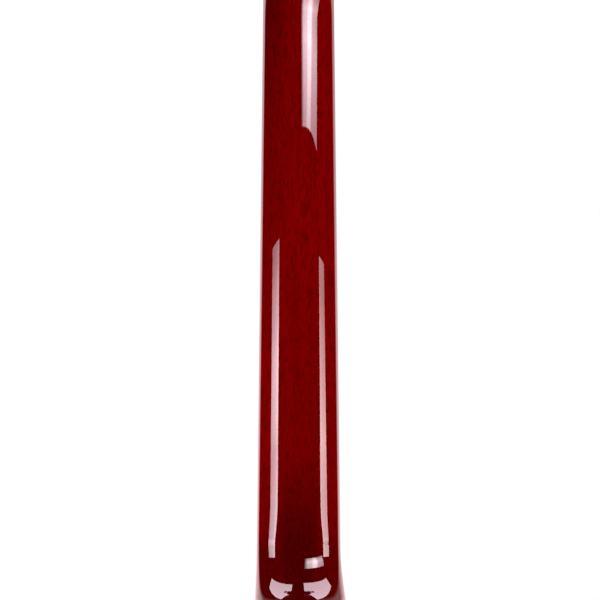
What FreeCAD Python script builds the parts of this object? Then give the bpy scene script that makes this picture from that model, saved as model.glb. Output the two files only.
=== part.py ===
import FreeCAD, Part
import math
import os
import re
import Sketcher
from FreeCAD import Placement, Rotation, Vector

# A set neck for a six-string electric guitar, in millimetres.
#
# Row frame: +Z runs along the neck towards the headstock, -Y is the side that the palm holds, +Y is the
# side of the fingerboard, and +X is the bass side. The origin is on the neck's centreline, where the plane
# that the fingerboard is glued to meets the heel's shoulder, the face that seats against the guitar's body.

SIZES = {
    # Strings, fingerboard and frets
    "scale_length": 628.65,       # from the nut to the bridge
    "fret_count": 22,
    "joint_fret": 16,             # this fret lies over the shoulder
    "nut_width": 43.0,            # across the fingerboard at the nut
    "twelfth_width": 51.3,        # across the fingerboard at fret 12
    "board_radius": 305.0,        # of the fingerboard's crowned face
    "board_thick": 6.0,           # along the centreline
    "board_end_margin": 7.5,      # past the last fret
    "binding_thick": 1.6,
    "fret_width": 2.6,
    "fret_height": 1.15,
    "tang_thick": 0.6,
    "tang_depth": 1.7,
    "tang_inset": 0.2,            # from the binding's inner face
    "fret_end_bevel": 33.0,       # degrees from upright
    "fret_inset": 0.35,           # from the binding's outer face
    "marker_dia": 6.4,
    "marker_depth": 2.0,
    "marker_pair_spacing": 19.0,  # between the two at the octave
    "side_marker_dia": 2.2,
    "side_marker_depth": 1.2,
    "side_marker_height": 2.6,    # above the glue plane
    "side_marker_spacing": 5.0,   # between the two at the octave
    "nut_thick": 5.0,             # along the neck
    "nut_rise": 2.1,              # above the fingerboard
    "nut_slope": 10.0,            # of its top, towards the headstock, in degrees
    "string_spread": 35.4,        # between the outer strings at the nut
    "string_slot_width": 0.9,
    "string_slot_depth": 1.3,
    # The neck's wood
    "neck_depth_nut": 15.2,       # below the glue plane
    "neck_depth_twelfth": 17.4,
    "back_fullness": 2.35,        # exponent of the back's superellipse: 2 is an ellipse, more is fuller
    "heel_fullness": 3.35,
    "heel_reach": 66.0,           # the back starts to fill out this far above the shoulder
    "cove_start": 46.0,           # above the shoulder
    "cove_radius": 40.0,
    "cove_angle": 65.0,           # the heel's steepest slope, in degrees
    "cap_round": 9.5,             # radius from the cove to the heel's cap
    "flare_bass": 3.6,
    "flare_treble": 0.9,
    "flare_reach": 45.0,
    "flare_drop": 10.0,           # the flare is full this far below the glue plane
    "tenon_width": 38.0,
    "tenon_depth": 33.0,
    "tenon_length": 70.0,
    "tenon_round": 3.0,
    # Headstock
    "head_angle": 14.0,
    "head_wood_thick": 14.0,
    "veneer_thick": 1.5,
    "head_length": 176.0,
    "head_flare_angle": 42.0,     # where the flare above the nut is widest open
    "head_flare_round": 7.0,      # radius from the flare to the long side
    "head_half_low": 36.6,        # half the width where the long sides start
    "head_side_angle": 1.4,       # of the long sides
    "head_tip_round": 9.0,
    "head_crown": 9.0,            # rise of the arched tip
    "head_edge_round": 1.6,       # around the back
    "core_half": 32.0,            # half the width of the wood that runs through; the wings are glued to it
    "blend_below": 26.0,          # the round back starts to flatten this far before the headstock's bend
    "blend_above": 28.0,          # and is as flat as the headstock this far past it
    "bend_half": 16.0,            # half the length of the curve under the bend
    # Truss rod
    "rod_dia": 4.8,
    "rod_axis_depth": 9.0,        # below the glue plane
    "rod_slot_extra": 0.2,        # the slot is this much wider than the rod
    "rod_below_shoulder": 14.0,   # to the anchor's axis, inside the tenon
    "anchor_dia": 10.0,
    "anchor_length": 10.0,
    "rod_nut_flats": 7.9,
    "rod_nut_length": 10.0,
    "rod_washer_thick": 1.2,
    "rod_washer_dia": 9.2,
    "rod_cavity_width": 13.0,
    "rod_cavity_length": 25.0,
    "rod_cavity_floor": 5.1,      # below the rod's axis
    "rod_cavity_start": 2.0,      # past the nut
    "rod_tip": 2.0,               # past the adjusting nut
    "cover_thick": 2.0,
    "cover_bevel": 0.7,
    "cover_base_half": 12.5,
    "cover_tip_half": 7.0,
    "cover_length": 45.0,
    "cover_start": 1.0,           # along the headstock, from its bend
    "cover_screw_dia": 2.0,
    "cover_screw_head": 3.8,
    "cover_screw_depth": 8.0,     # below the cover
    "cover_screw_inset": 4.2,
    # Tuning machines
    "tuner_first": 53.0,          # along the headstock, from its bend
    "tuner_spacing": 40.0,
    "post_inset": 13.2,           # from the headstock's edge
    "post_dia": 6.3,
    "post_rise": 17.0,            # above the veneer
    "post_tip_bevel": 0.8,
    "post_waist_dia": 5.0,
    "post_waist_length": 6.0,
    "post_waist_start": 3.0,      # below the post's tip
    "post_shoulder_dia": 8.2,
    "post_shoulder_thick": 1.2,
    "post_square": 4.2,
    "string_hole_dia": 1.8,
    "bushing_hole_dia": 8.9,
    "bushing_flange_dia": 12.0,
    "bushing_flange_thick": 1.3,
    "bushing_flange_bevel": 0.5,
    "bushing_length": 8.0,
    "running_gap": 0.06,          # radial, between a shaft and its bearing
    "face_gap": 0.06,             # between faces that turn on each other
    "plate_thick": 1.2,
    "plate_width": 15.6,
    "plate_length": 37.0,
    "plate_corner": 2.5,
    "ear_inside": 6.3,            # from the post's axis to an ear's inner face
    "ear_thick": 1.3,
    "ear_half": 3.9,
    "wheel_teeth": 14,
    "thread_pitch": 2.6,          # of the worm, and between the wheel's teeth
    "thread_turns": 3.5,
    "thread_thick": 1.0,          # on the pitch line
    "thread_above": 0.75,         # from the pitch line to the thread's crest
    "thread_below": 0.95,         # from the pitch line to the worm's core
    "worm_pitch_radius": 2.6,
    "tooth_gap": 1.62,            # between the wheel's teeth, on the pitch line
    "tooth_above": 0.65,
    "tooth_below": 1.0,
    "wheel_lift": 1.8,            # above the plate
    "wheel_thick": 4.0,
    "wheel_hub_dia": 8.4,
    "wheel_screw_dia": 2.6,
    "wheel_screw_depth": 5.0,
    "wheel_screw_head": 6.2,
    "journal_dia": 3.4,
    "collar_dia": 5.4,
    "collar_thick": 0.5,
    "shaft_dia": 4.0,
    "shaft_tail": 0.9,            # past the inner ear
    "shaft_in_button": 9.0,
    "button_gap": 2.6,            # from the headstock's edge to the button
    "button_length": 19.0,        # along its shaft
    "button_width": 17.5,
    "button_thick": 7.8,
    "button_bulge": 12.6,         # thickness that its curved sides would reach without its flat faces
    "button_neck_dia": 7.0,
    "button_neck_length": 5.0,
    "plate_screw_dia": 2.2,
    "plate_screw_head": 4.6,
    "plate_screw_depth": 9.0,     # below the plate
    "plate_screw_inset": 3.6,     # from the plate's end
    "screw_slot_width": 0.8,
}

STRINGS = ["low_e", "a", "d", "g", "b", "high_e"]     # the first three are on the bass side, from the nut up
MARKED_FRETS = [3, 5, 7, 9, 12, 15, 17, 19, 21]
OCTAVE = 12                       # the fret that is marked with a pair
FLANK_ANGLE = 20.0                # of the worm's thread and the wheel's teeth
BEYOND = 30.0                     # how far a cutting block reaches past what it cuts
TINY = 1e-9                       # what counts as no length in an expression
GRAZE = 1e-3                      # what counts as no distance between faces and edges

doc = FreeCAD.newDocument("guitar_neck")
sheet = doc.addObject("Spreadsheet::Sheet", "Sizes")
for row, (alias, value) in enumerate(SIZES.items(), start=1):
    sheet.set(f"A{row}", alias)
    sheet.set(f"B{row}", str(value))
    sheet.setAlias(f"B{row}", alias)
doc.recompute()

nodes = {}                        # every sub-part by its name


def size(alias):
    return float(getattr(sheet, alias))


def from_sheet(text):
    """An expression written with plain aliases, as the document's objects read it."""
    return re.sub(r"[a-z][a-z_]+", lambda word: f"Sizes.{word[0]}" if word[0] in SIZES else word[0], text)


def number(text):
    return float(sheet.evalExpression(from_sheet(text)))


def bind(thing, **properties):
    """Tie an object's properties to expressions; a double underscore stands for a dot."""
    for name, text in properties.items():
        thing.setExpression(name.replace("__", "."), from_sheet(text))
    return thing


def node(name, thing):
    thing.Label = name
    nodes[name] = thing
    return thing


# ---- Sketches and features ----

def body(name):
    return doc.addObject("PartDesign::Body", name)


def sketch(owner, role, name, lift=None):
    drawn = owner.newObject("Sketcher::SketchObject", f"{owner.Name}_{name}")
    plane = next(part for part in owner.Origin.OriginFeatures if part.Role == role)
    drawn.AttachmentSupport = [(plane, "")]
    drawn.MapMode = "FlatFace"
    if lift:
        bind(drawn, AttachmentOffset__Base__z=lift)
    return drawn


def hold(drawn, kind, piece, point, text):
    """Fix one coordinate of a point, measured from the sketch's origin."""
    value = number(text)
    if abs(value) < TINY:
        axis = {"DistanceX": -2, "DistanceY": -1}[kind]
        drawn.addConstraint(Sketcher.Constraint("PointOnObject", piece, point, axis))
    else:
        index = drawn.addConstraint(Sketcher.Constraint(kind, -1, 1, piece, point, value))
        drawn.setExpression(f"Constraints[{index}]", from_sheet(text))


def draw_polygon(drawn, corners, open_end=False):
    """Lines between corners, each corner a pair of expressions; open_end leaves out the closing line."""
    first = drawn.GeometryCount
    places = [Vector(number(across), number(up), 0) for across, up in corners]
    count = len(corners) - (1 if open_end else 0)
    for k in range(count):
        drawn.addGeometry(Part.LineSegment(places[k], places[(k + 1) % len(places)]), False)
    for k in range(count - (1 if open_end else 0)):
        drawn.addConstraint(Sketcher.Constraint("Coincident", first + k, 2, first + (k + 1) % count, 1))
    for k, (across, up) in enumerate(corners):
        piece, point = (first + k, 1) if k < count else (first + count - 1, 2)
        hold(drawn, "DistanceX", piece, point, across)
        hold(drawn, "DistanceY", piece, point, up)
    return drawn


def draw_box(drawn, left, right, low, high):
    return draw_polygon(drawn, [(left, low), (right, low), (right, high), (left, high)])


def draw_square(drawn, side):
    return draw_box(drawn, f"-{side} / 2", f"{side} / 2", f"-{side} / 2", f"{side} / 2")


def draw_circle(drawn, diameter, across="0", up="0"):
    centre = Vector(number(across), number(up), 0)
    piece = drawn.addGeometry(Part.Circle(centre, Vector(0, 0, 1), number(diameter) / 2), False)
    index = drawn.addConstraint(Sketcher.Constraint("Diameter", piece, number(diameter)))
    drawn.setExpression(f"Constraints[{index}]", from_sheet(diameter))
    hold(drawn, "DistanceX", piece, 3, across)
    hold(drawn, "DistanceY", piece, 3, up)
    return drawn


def draw_arch(drawn, across, base_half, top_half, low, high):
    """Two straight sides closed by a half circle; high is the circle's centre."""
    right_low = (f"{across} + {base_half}", low)
    right_high = (f"{across} + {top_half}", high)
    left_high = (f"{across} - {top_half}", high)
    left_low = (f"{across} - {base_half}", low)
    draw_polygon(drawn, [left_high, left_low, right_low, right_high], open_end=True)
    centre = Vector(number(across), number(high), 0)
    circle = Part.Circle(centre, Vector(0, 0, 1), number(top_half))
    arc = drawn.addGeometry(Part.ArcOfCircle(circle, 0, math.pi), False)
    drawn.addConstraint(Sketcher.Constraint("Coincident", arc - 1, 2, arc, 1))
    drawn.addConstraint(Sketcher.Constraint("Coincident", arc, 2, 0, 1))
    hold(drawn, "DistanceY", arc, 3, high)
    return drawn


def feature(owner, kind, drawn, **settings):
    made = owner.newObject(f"PartDesign::{kind}", f"{drawn.Name}_{kind.lower()}")
    made.Profile = drawn
    for name, value in settings.items():
        setattr(made, name, value)
    drawn.Visibility = False
    return made


def pad(owner, drawn, length, **settings):
    return bind(feature(owner, "Pad", drawn, **settings), Length=length)


def pocket_through(owner, drawn):
    return feature(owner, "Pocket", drawn, Type="ThroughAll", SideType="Symmetric")


def turn(owner, drawn, kind="Revolution"):
    return feature(owner, kind, drawn, ReferenceAxis=(drawn, ["V_Axis"]), Angle=360.0)


def turned(name, profile):
    """A body of revolution about its own Z; the profile's corners are pairs of radius and height."""
    made = body(name)
    turn(made, draw_polygon(sketch(made, "XZ_Plane", "profile"), profile))
    return made


def slotted_screw(name, shank_dia, head_dia, length):
    """A round-headed wood screw, upright, with the underside of its head at height 0."""
    head = f"({head_dia})"
    point = f"({shank_dia}) * 0.8"
    made = turned(name, [
        ("0", f"-({length})"), (f"{shank_dia} / 2", f"-({length}) + {point}"), (f"{shank_dia} / 2", "0"),
        (f"{head} / 2", "0"), (f"{head} / 2", f"{head} * 0.14"), (f"{head} * 0.4", f"{head} * 0.25"),
        (f"{head} * 0.22", f"{head} * 0.32"), ("0", f"{head} * 0.34")])
    slot = draw_box(sketch(made, "XZ_Plane", "slot"), "-screw_slot_width / 2", "screw_slot_width / 2",
                    f"{head} * 0.17", f"{head} * 0.5")
    pocket_through(made, slot)
    return made


# ---- Primitives and booleans ----

def box(name, x, y, z):
    """A block from pairs of expressions: where each side starts and ends."""
    made = doc.addObject("Part::Box", name)
    bind(made, Length=f"({x[1]}) - ({x[0]})", Width=f"({y[1]}) - ({y[0]})", Height=f"({z[1]}) - ({z[0]})")
    return bind(made, Placement__Base__x=x[0], Placement__Base__y=y[0], Placement__Base__z=z[0])


def rod(name, diameter, length, start=None):
    """A cylinder along Z."""
    made = bind(doc.addObject("Part::Cylinder", name), Radius=f"({diameter}) / 2", Height=length)
    return bind(made, Placement__Base__z=start) if start else made


def combine(kind, name, base, tool):
    made = doc.addObject(f"Part::{kind}", name)
    made.Base = base
    made.Tool = tool
    return made


def gather(name, things):
    made = doc.addObject("Part::Compound", name)
    made.Links = things
    return made


def solid(name, shape):
    made = doc.addObject("Part::Feature", name)
    made.Shape = shape
    return made


# ---- Places along the neck ----

NUT_Z = "(scale_length * (1 - 2 ^ (-joint_fret / 12)))"
BEND_Z = f"({NUT_Z} + nut_thick)"


def fret_place(fret):
    return f"({NUT_Z} - scale_length * (1 - 2 ^ (-({fret}) / 12)))"


BOARD_END = f"({fret_place('fret_count')} - board_end_margin)"
HEAD_THICK = "(head_wood_thick + veneer_thick)"


def half_width_at(place):
    """Half the neck's width, which grows evenly from the nut down."""
    return f"(nut_width / 2 + (twelfth_width - nut_width) / scale_length * ({NUT_Z} - ({place})))"


nut_z = number(NUT_Z)
bend_z = number(BEND_Z)
taper = (size("twelfth_width") - size("nut_width")) / size("scale_length")


def half_width(z):
    return size("nut_width") / 2 + taper * (nut_z - z)


# ---- Frames of the headstock ----

tilt = math.radians(size("head_angle"))
ALONG = Vector(0, -math.sin(tilt), math.cos(tilt))       # up the headstock
FACING = Vector(0, math.cos(tilt), math.sin(tilt))       # out of its face
BEND = Vector(0, 0, bend_z)
head_thick = number(HEAD_THICK)


def frame_at(origin, across, along, out):
    """The placement that puts X, Y and Z on three directions."""
    turn_to = FreeCAD.Matrix(across.x, along.x, out.x, 0, across.y, along.y, out.y, 0,
                             across.z, along.z, out.z, 0, 0, 0, 0, 1)
    return Placement(origin, Rotation(Placement(turn_to).Rotation))


def on_face(u, v, lift=0.0):
    """A place on the headstock's face: u towards the treble side, v along it, Z out of it."""
    return frame_at(BEND + Vector(-u, 0, 0) + ALONG * v + FACING * lift, Vector(-1, 0, 0), ALONG, FACING)


# ---- The headstock's outline ----

flare_start = -math.atan(taper)
flare_open = math.radians(size("head_flare_angle"))
side_lean = math.radians(size("head_side_angle"))
flare_radius = ((size("head_half_low") - half_width(bend_z)
                 - size("head_flare_round") * (math.cos(side_lean) - math.cos(flare_open)))
                / (math.cos(flare_start) - math.cos(flare_open)))


def flare_point(lean):
    """Where the side of the flare leans this far out, as half width and height along the headstock."""
    return (half_width(bend_z) + flare_radius * (math.cos(flare_start) - math.cos(lean)),
            flare_radius * (math.sin(lean) - math.sin(flare_start)))


def head_half(v):
    """Half the width at a height below the flare's widest opening."""
    if v < 0:
        return half_width(bend_z + v)
    return flare_point(math.asin(v / flare_radius + math.sin(flare_start)))[0]


def shoulder_point(lean):
    """A point of the round between the flare and the long side."""
    across, up = flare_point(flare_open)
    small = size("head_flare_round")
    return (across + small * (math.cos(lean) - math.cos(flare_open)),
            up + small * (math.sin(flare_open) - math.sin(lean)))


side_low = shoulder_point(side_lean)


def side_half(v):
    return side_low[0] + math.tan(side_lean) * (v - side_low[1])


def head_outline(start):
    """The closed face outline of the headstock from a height upwards, in the frame of on_face."""
    tip_round = size("head_tip_round")
    arch = (size("head_half_low") ** 2 + size("head_crown") ** 2) / (2 * size("head_crown"))
    arch_centre = size("head_length") - arch
    lean = math.tan(side_lean)
    inner = side_half(0) - tip_round / math.cos(side_lean)
    a = 1 + lean ** 2
    b = inner * lean - arch_centre
    c = inner ** 2 + arch_centre ** 2 - (arch - tip_round) ** 2
    corner_v = (-b + math.sqrt(b * b - a * c)) / a
    corner_u = inner + lean * corner_v
    leaving = math.atan2(corner_v - arch_centre, corner_u)
    middle = (leaving - side_lean) / 2

    def on_corner(angle):
        return (corner_u + tip_round * math.cos(angle), corner_v + tip_round * math.sin(angle))

    start_lean = math.asin(start / flare_radius + math.sin(flare_start)) if start > 0 else flare_start
    flare_middle = (start_lean + flare_open) / 2
    shoulder_middle = (flare_open + side_lean) / 2
    right = [("arc", flare_point(start_lean), flare_point(flare_middle), flare_point(flare_open)),
             ("arc", shoulder_point(flare_open), shoulder_point(shoulder_middle), side_low),
             ("line", side_low, on_corner(-side_lean)),
             ("arc", on_corner(-side_lean), on_corner(middle), on_corner(leaving))]
    edges = []
    if start <= 0:
        right.insert(0, ("line", (head_half(start), start), (head_half(0), 0)))
    for sign in (1, -1):
        for kind, *points in right:
            places = [Vector(sign * across, up, 0) for across, up in points]
            curve = Part.Arc(*places) if kind == "arc" else Part.LineSegment(*places)
            edges.append(curve.toShape())
    across, up = on_corner(leaving)
    top = Part.Arc(Vector(across, up, 0), Vector(0, size("head_length"), 0), Vector(-across, up, 0))
    foot = Part.LineSegment(Vector(-head_half(start), start, 0), Vector(head_half(start), start, 0))
    edges += [top.toShape(), foot.toShape()]
    return Part.Wire(Part.__sortEdges__(edges))


# ---- The neck's wood ----

def depth_at(z):
    """How deep the straight part of the neck is below the glue plane."""
    per_length = (size("neck_depth_twelfth") - size("neck_depth_nut")) * 2 / size("scale_length")
    return size("neck_depth_nut") + per_length * (nut_z - z)


def ease(share):
    share = min(max(share, 0.0), 1.0)
    return share * share * (3 - 2 * share)


CORNER_START = 40.0               # degrees of the section's sweep where a square back's corner begins
CORNER_END = 50.0
RAISE_SWEEP = 8.0                 # degrees of the sweep that a raised section's upright top takes
SWEEP = [float(angle) for angle in range(0, 40, 5)]
SWEEP += [CORNER_START + (CORNER_END - CORNER_START) * step / 8 for step in range(9)]
SWEEP += [float(angle) for angle in range(55, 91, 5)]
SEAM = 0.03                       # the bend's wood ends this far inside the headstock's outline


def superellipse(angle, across, down, fullness):
    swing = math.radians(angle)
    return (across * math.cos(swing) ** (2 / fullness) if angle < 90 else 0.0,
            down * math.sin(swing) ** (2 / fullness))


def square_back(angle, across, down):
    """The same sweep over a square section with rounded corners."""
    corner = size("head_edge_round")
    if angle <= CORNER_START:
        return (across, (down - corner) * angle / CORNER_START)
    if angle >= CORNER_END:
        return ((across - corner) * (90 - angle) / (90 - CORNER_END), down)
    turn_by = math.radians(90 * (angle - CORNER_START) / (CORNER_END - CORNER_START))
    return (across - corner + corner * math.cos(turn_by), down - corner + corner * math.sin(turn_by))


def section(half_points, place, raise_top=0.0):
    """A closed section of the back: half_points gives both sides, place puts a point where it belongs."""
    sides = {}
    for side in (1, -1):
        points = [half_points(side, angle) for angle in SWEEP]
        upper = [(points[0][0], -raise_top * share) for share in (1.0, 0.5)] if raise_top else []
        sides[side] = [place(side * across, down) for across, down in upper + points]
    knots = ([-RAISE_SWEEP, -RAISE_SWEEP / 2] if raise_top else []) + SWEEP
    run = sides[1] + sides[-1][-2::-1]
    curve = Part.BSplineCurve()
    curve.interpolate(Points=run, Parameters=knots + [180.0 - angle for angle in knots[-2::-1]])
    return Part.Wire([curve.toShape(), Part.LineSegment(run[-1], run[0]).toShape()])


def upright_section(z, down=None, fullness=None):
    across = half_width(z)
    down = down or depth_at(z)
    fullness = fullness or size("back_fullness")
    flare_share = max(0.0, 1 - z / size("flare_reach")) ** 2

    def half_points(side, angle):
        x, y = superellipse(angle, across, down, fullness)
        flare = size("flare_bass") if side > 0 else size("flare_treble")
        return (x * (1 + flare * flare_share * ease(y / size("flare_drop")) / across), y)

    return section(half_points, lambda x, y: Vector(x, -y, z))


def heel_sections():
    """From the shoulder up: the cap, its round, the cove and the first of the straight back."""
    steep = math.radians(size("cove_angle"))
    cove = size("cove_radius")
    rounding = size("cap_round")
    cove_end = size("cove_start") - cove * math.sin(steep)
    cove_depth = depth_at(size("cove_start")) + cove * (1 - math.cos(steep))
    cap_depth = cove_depth + rounding * (1 - math.cos(steep))
    cap_start = cove_end - rounding * math.sin(steep)
    places = [(0.0, cap_depth), (cap_start / 2, cap_depth)]
    for step in range(9):
        lean = steep * step / 8
        places.append((cap_start + rounding * math.sin(lean), cap_depth - rounding * (1 - math.cos(lean))))
    for step in range(1, 15):
        lean = steep * (1 - step / 14)
        z = size("cove_start") - cove * math.sin(lean)
        places.append((z, depth_at(size("cove_start")) + cove * (1 - math.cos(lean))))
    reach = size("heel_reach")
    for share in (0.25, 0.5, 0.75, 1.0):
        z = size("cove_start") + (reach - size("cove_start")) * share
        places.append((z, depth_at(z)))
    wires = []
    for z, down in places:
        filling = ease(1 - z / reach)
        fullness = size("back_fullness") + (size("heel_fullness") - size("back_fullness")) * filling
        wires.append(upright_section(z, down, fullness))
    return wires


def back_line(z):
    """Depth of the back around the bend: two straight lines joined by a parabola."""
    head_slope = math.tan(tilt)
    neck_slope = -(size("neck_depth_twelfth") - size("neck_depth_nut")) * 2 / size("scale_length")
    head_start = head_thick / math.cos(tilt)         # depth of the headstock's back plane at the bend
    crossing = (depth_at(bend_z) - head_start) / (head_slope - neck_slope)
    reach = size("bend_half")
    past = z - bend_z - crossing
    if past <= -reach:
        return depth_at(z)
    if past >= reach:
        return head_start + head_slope * (z - bend_z)
    curve = (head_slope - neck_slope) * (past + reach) ** 2 / (4 * reach)
    return depth_at(z) + curve


def bend_section(s):
    """A section at a distance past the bend along the face; its plane tips over with the headstock."""
    share = ease((s + size("blend_below")) / (size("blend_below") + size("blend_above")))
    lean = tilt * share
    top = BEND + (ALONG * s if s > 0 else Vector(0, 0, s))
    inward = Vector(0, -math.cos(lean), -math.sin(lean))
    down = depth_at(bend_z)
    for _ in range(12):
        reached = top + inward * down
        down += (back_line(reached.z) + reached.y) / math.cos(lean)
    down -= SEAM * share
    across = head_half(s) - SEAM * share

    def half_points(side, angle):
        round_x, round_y = superellipse(angle, across, down, size("back_fullness"))
        square_x, square_y = square_back(angle, across, down)
        return (round_x + (square_x - round_x) * share, round_y + (square_y - round_y) * share)

    return section(half_points, lambda x, q: top + Vector(x, 0, 0) + inward * q, raise_top=3.0)


def loft(wires, ruled=False):
    return Part.makeLoft(wires, True, ruled)


def neck_blank():
    heel = loft(heel_sections())
    blend_start = -size("blend_below")
    shaft = loft([upright_section(size("heel_reach")), upright_section(bend_z + blend_start)], ruled=True)
    steps = 18
    run = size("blend_below") + size("blend_above")
    blend = loft([bend_section(blend_start + run * step / steps) for step in range(steps + 1)])
    above_neck = Part.makeBox(4 * BEYOND, BEYOND, BEYOND + size("blend_below"),
                              Vector(-2 * BEYOND, 0, bend_z - BEYOND - size("blend_below")))
    corner = Vector(-2 * BEYOND, -2 * BEYOND, -size("veneer_thick"))
    above_head = Part.makeBox(4 * BEYOND, 4 * BEYOND, BEYOND, corner)
    above_head.Placement = on_face(0, 0)
    corner = Vector(-2 * BEYOND, -4 * BEYOND, bend_z)
    past_bend = Part.makeBox(4 * BEYOND, 8 * BEYOND, 4 * BEYOND, corner)
    blend = blend.cut(above_neck).cut(above_head.common(past_bend))
    return heel.fuse([shaft, blend])


def head_board():
    """The headstock's wood before it is parted into core and wings, with its back edge rounded."""
    face = Part.Face(head_outline(size("blend_above")))
    board = face.extrude(Vector(0, 0, size("head_wood_thick")))
    foot = size("blend_above")

    def on_back_edge(edge):
        box_of = edge.BoundBox
        return box_of.ZMax < GRAZE and box_of.YMax > foot + GRAZE

    board = board.makeFillet(size("head_edge_round"), [edge for edge in board.Edges if on_back_edge(edge)])
    board.Placement = on_face(0, 0, -head_thick)
    return board



# ---- Tuning machines ----
#
# Each machine has its own frame: the origin on the post's axis in the plane of the headstock's back, X
# outboard and Z out of the back. The worm lies on the nut's side of its post.

CENTRES = "(wheel_teeth * thread_pitch / (2 * pi) + worm_pitch_radius)"
WHEEL_PITCH_RADIUS = "(wheel_teeth * thread_pitch / (2 * pi))"
WHEEL_LOW = "(plate_thick + wheel_lift)"
WHEEL_TOP = f"({WHEEL_LOW} + wheel_thick)"
WORM_HEIGHT = f"({WHEEL_LOW} + wheel_thick / 2)"
POST_TIP = f"(-({HEAD_THICK} + post_rise))"
FLANK = f"tan({FLANK_ANGLE})"


def machine_places():
    """Name, side and placement of each machine."""
    places = []
    for index, string in enumerate(STRINGS):
        side = 1 if index < 3 else -1
        step = index if index < 3 else 5 - index
        v = size("tuner_first") + size("tuner_spacing") * step
        across = side_half(v) - size("post_inset")
        origin = BEND + Vector(side * across, 0, 0) + ALONG * v - FACING * head_thick
        outboard = Vector(side, 0, 0)
        back = FACING * -1
        places.append((string, side, frame_at(origin, outboard, back.cross(outboard), back)))
    return places


def plate_body(name, side):
    made = body(name)
    flat = draw_box(sketch(made, "XY_Plane", "flat"), "-plate_width / 2", "plate_width / 2",
                    "-plate_length / 2", "plate_length / 2")
    base = pad(made, flat, "plate_thick")
    doc.recompute()
    upright = [f"Edge{k}" for k, edge in enumerate(base.Shape.Edges, start=1)
               if edge.BoundBox.ZLength > size("plate_thick") / 2]
    corners = made.newObject("PartDesign::Fillet", f"{name}_corners")
    corners.Base = (base, upright)
    bind(corners, Radius="plate_corner")
    worm_y = f"{-side} * {CENTRES}"
    ear = draw_arch(sketch(made, "YZ_Plane", "ear", lift="ear_inside"), worm_y, "ear_half", "ear_half",
                    "plate_thick / 2", WORM_HEIGHT)
    ear = pad(made, ear, "ear_thick")
    inner_ear = made.newObject("PartDesign::Mirrored", f"{name}_inner_ear")
    inner_ear.Originals = [ear]
    mirror_plane = next(part for part in made.Origin.OriginFeatures if part.Role == "YZ_Plane")
    inner_ear.MirrorPlane = (mirror_plane, [""])
    made.Tip = inner_ear
    bearing = sketch(made, "YZ_Plane", "bearing")
    pocket_through(made, draw_circle(bearing, "journal_dia + 2 * running_gap", worm_y, WORM_HEIGHT))
    openings = sketch(made, "XY_Plane", "openings")
    draw_circle(openings, "post_dia + 2 * running_gap")
    for end in ("plate_length / 2 - plate_screw_inset", "plate_screw_inset - plate_length / 2"):
        draw_circle(openings, "plate_screw_dia", up=end)
    pocket_through(made, openings)
    return made


def worm_shaft_body(name):
    """The shaft stands along Z here, with the button's end up; its thread is right-handed."""
    journal = "journal_dia / 2"
    collar = "collar_dia / 2"
    core = "worm_pitch_radius - thread_below"
    inside = "ear_inside - face_gap"
    outside = "ear_inside + ear_thick + face_gap"
    shaft_end = "post_inset + button_gap + shaft_in_button"
    made = turned(name, [
        ("0", "-(ear_inside + ear_thick + shaft_tail)"), (journal, "-(ear_inside + ear_thick + shaft_tail)"),
        (journal, f"-({inside})"), (collar, f"-({inside})"), (collar, f"-({inside} - collar_thick)"),
        (core, f"-({inside} - collar_thick)"), (core, f"{inside} - collar_thick"),
        (collar, f"{inside} - collar_thick"), (collar, inside), (journal, inside), (journal, outside),
        ("shaft_dia / 2", outside), ("shaft_dia / 2", shaft_end), ("0", shaft_end)])
    start = "thread_turns * thread_pitch / 2"
    root = "worm_pitch_radius - thread_below - 0.1"
    crest = "worm_pitch_radius + thread_above"
    root_half = f"thread_thick / 2 + (thread_below + 0.1) * {FLANK}"
    crest_half = f"thread_thick / 2 - thread_above * {FLANK}"
    outline = draw_polygon(sketch(made, "XZ_Plane", "thread"), [
        (root, f"-({start}) - ({root_half})"), (crest, f"-({start}) - ({crest_half})"),
        (crest, f"-({start}) + {crest_half}"), (root, f"-({start}) + {root_half}")])
    thread = feature(made, "AdditiveHelix", outline, Mode="pitch-turns-angle")
    thread.ReferenceAxis = (outline, ["V_Axis"])
    bind(thread, Pitch="thread_pitch", Turns="thread_turns")
    return made


def wheel_body(name):
    """The worm meets this wheel on its +X side, where a gap between two teeth is centred."""
    made = body(name)
    blank_lift = sketch(made, "XY_Plane", "rim", lift=WHEEL_LOW)
    pad(made, draw_circle(blank_lift, f"2 * ({WHEEL_PITCH_RADIUS} + tooth_above)"), "wheel_thick")
    hub = draw_circle(sketch(made, "XY_Plane", "hub", lift="plate_thick + face_gap"), "wheel_hub_dia")
    pad(made, hub, "wheel_lift - face_gap")
    pocket_through(made, draw_square(sketch(made, "XY_Plane", "drive"), "post_square"))
    root = f"{WHEEL_PITCH_RADIUS} - tooth_below"
    outer = f"{WHEEL_PITCH_RADIUS} + 2 * tooth_above"
    root_half = f"tooth_gap / 2 - tooth_below * {FLANK}"
    outer_half = f"tooth_gap / 2 + 2 * tooth_above * {FLANK}"
    gap = draw_polygon(sketch(made, "XY_Plane", "gap", lift=WORM_HEIGHT), [
        (root, f"-({root_half})"), (outer, f"-({outer_half})"), (outer, outer_half), (root, root_half)])
    lead = math.atan(size("thread_pitch") / (2 * math.pi * size("worm_pitch_radius")))
    first_gap = feature(made, "Pocket", gap, Type="Length", SideType="Symmetric", AlongSketchNormal=True,
                        UseCustomVector=True, Direction=Vector(0, math.sin(lead), math.cos(lead)))
    bind(first_gap, Length="wheel_thick * 2")
    gaps = made.newObject("PartDesign::PolarPattern", f"{name}_gaps")
    gaps.Originals = [first_gap]
    axis = next(part for part in made.Origin.OriginFeatures if part.Role == "Z_Axis")
    gaps.Axis = (axis, [""])
    gaps.Angle = 360.0
    bind(gaps, Occurrences="wheel_teeth")
    made.Tip = gaps
    return made


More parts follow.
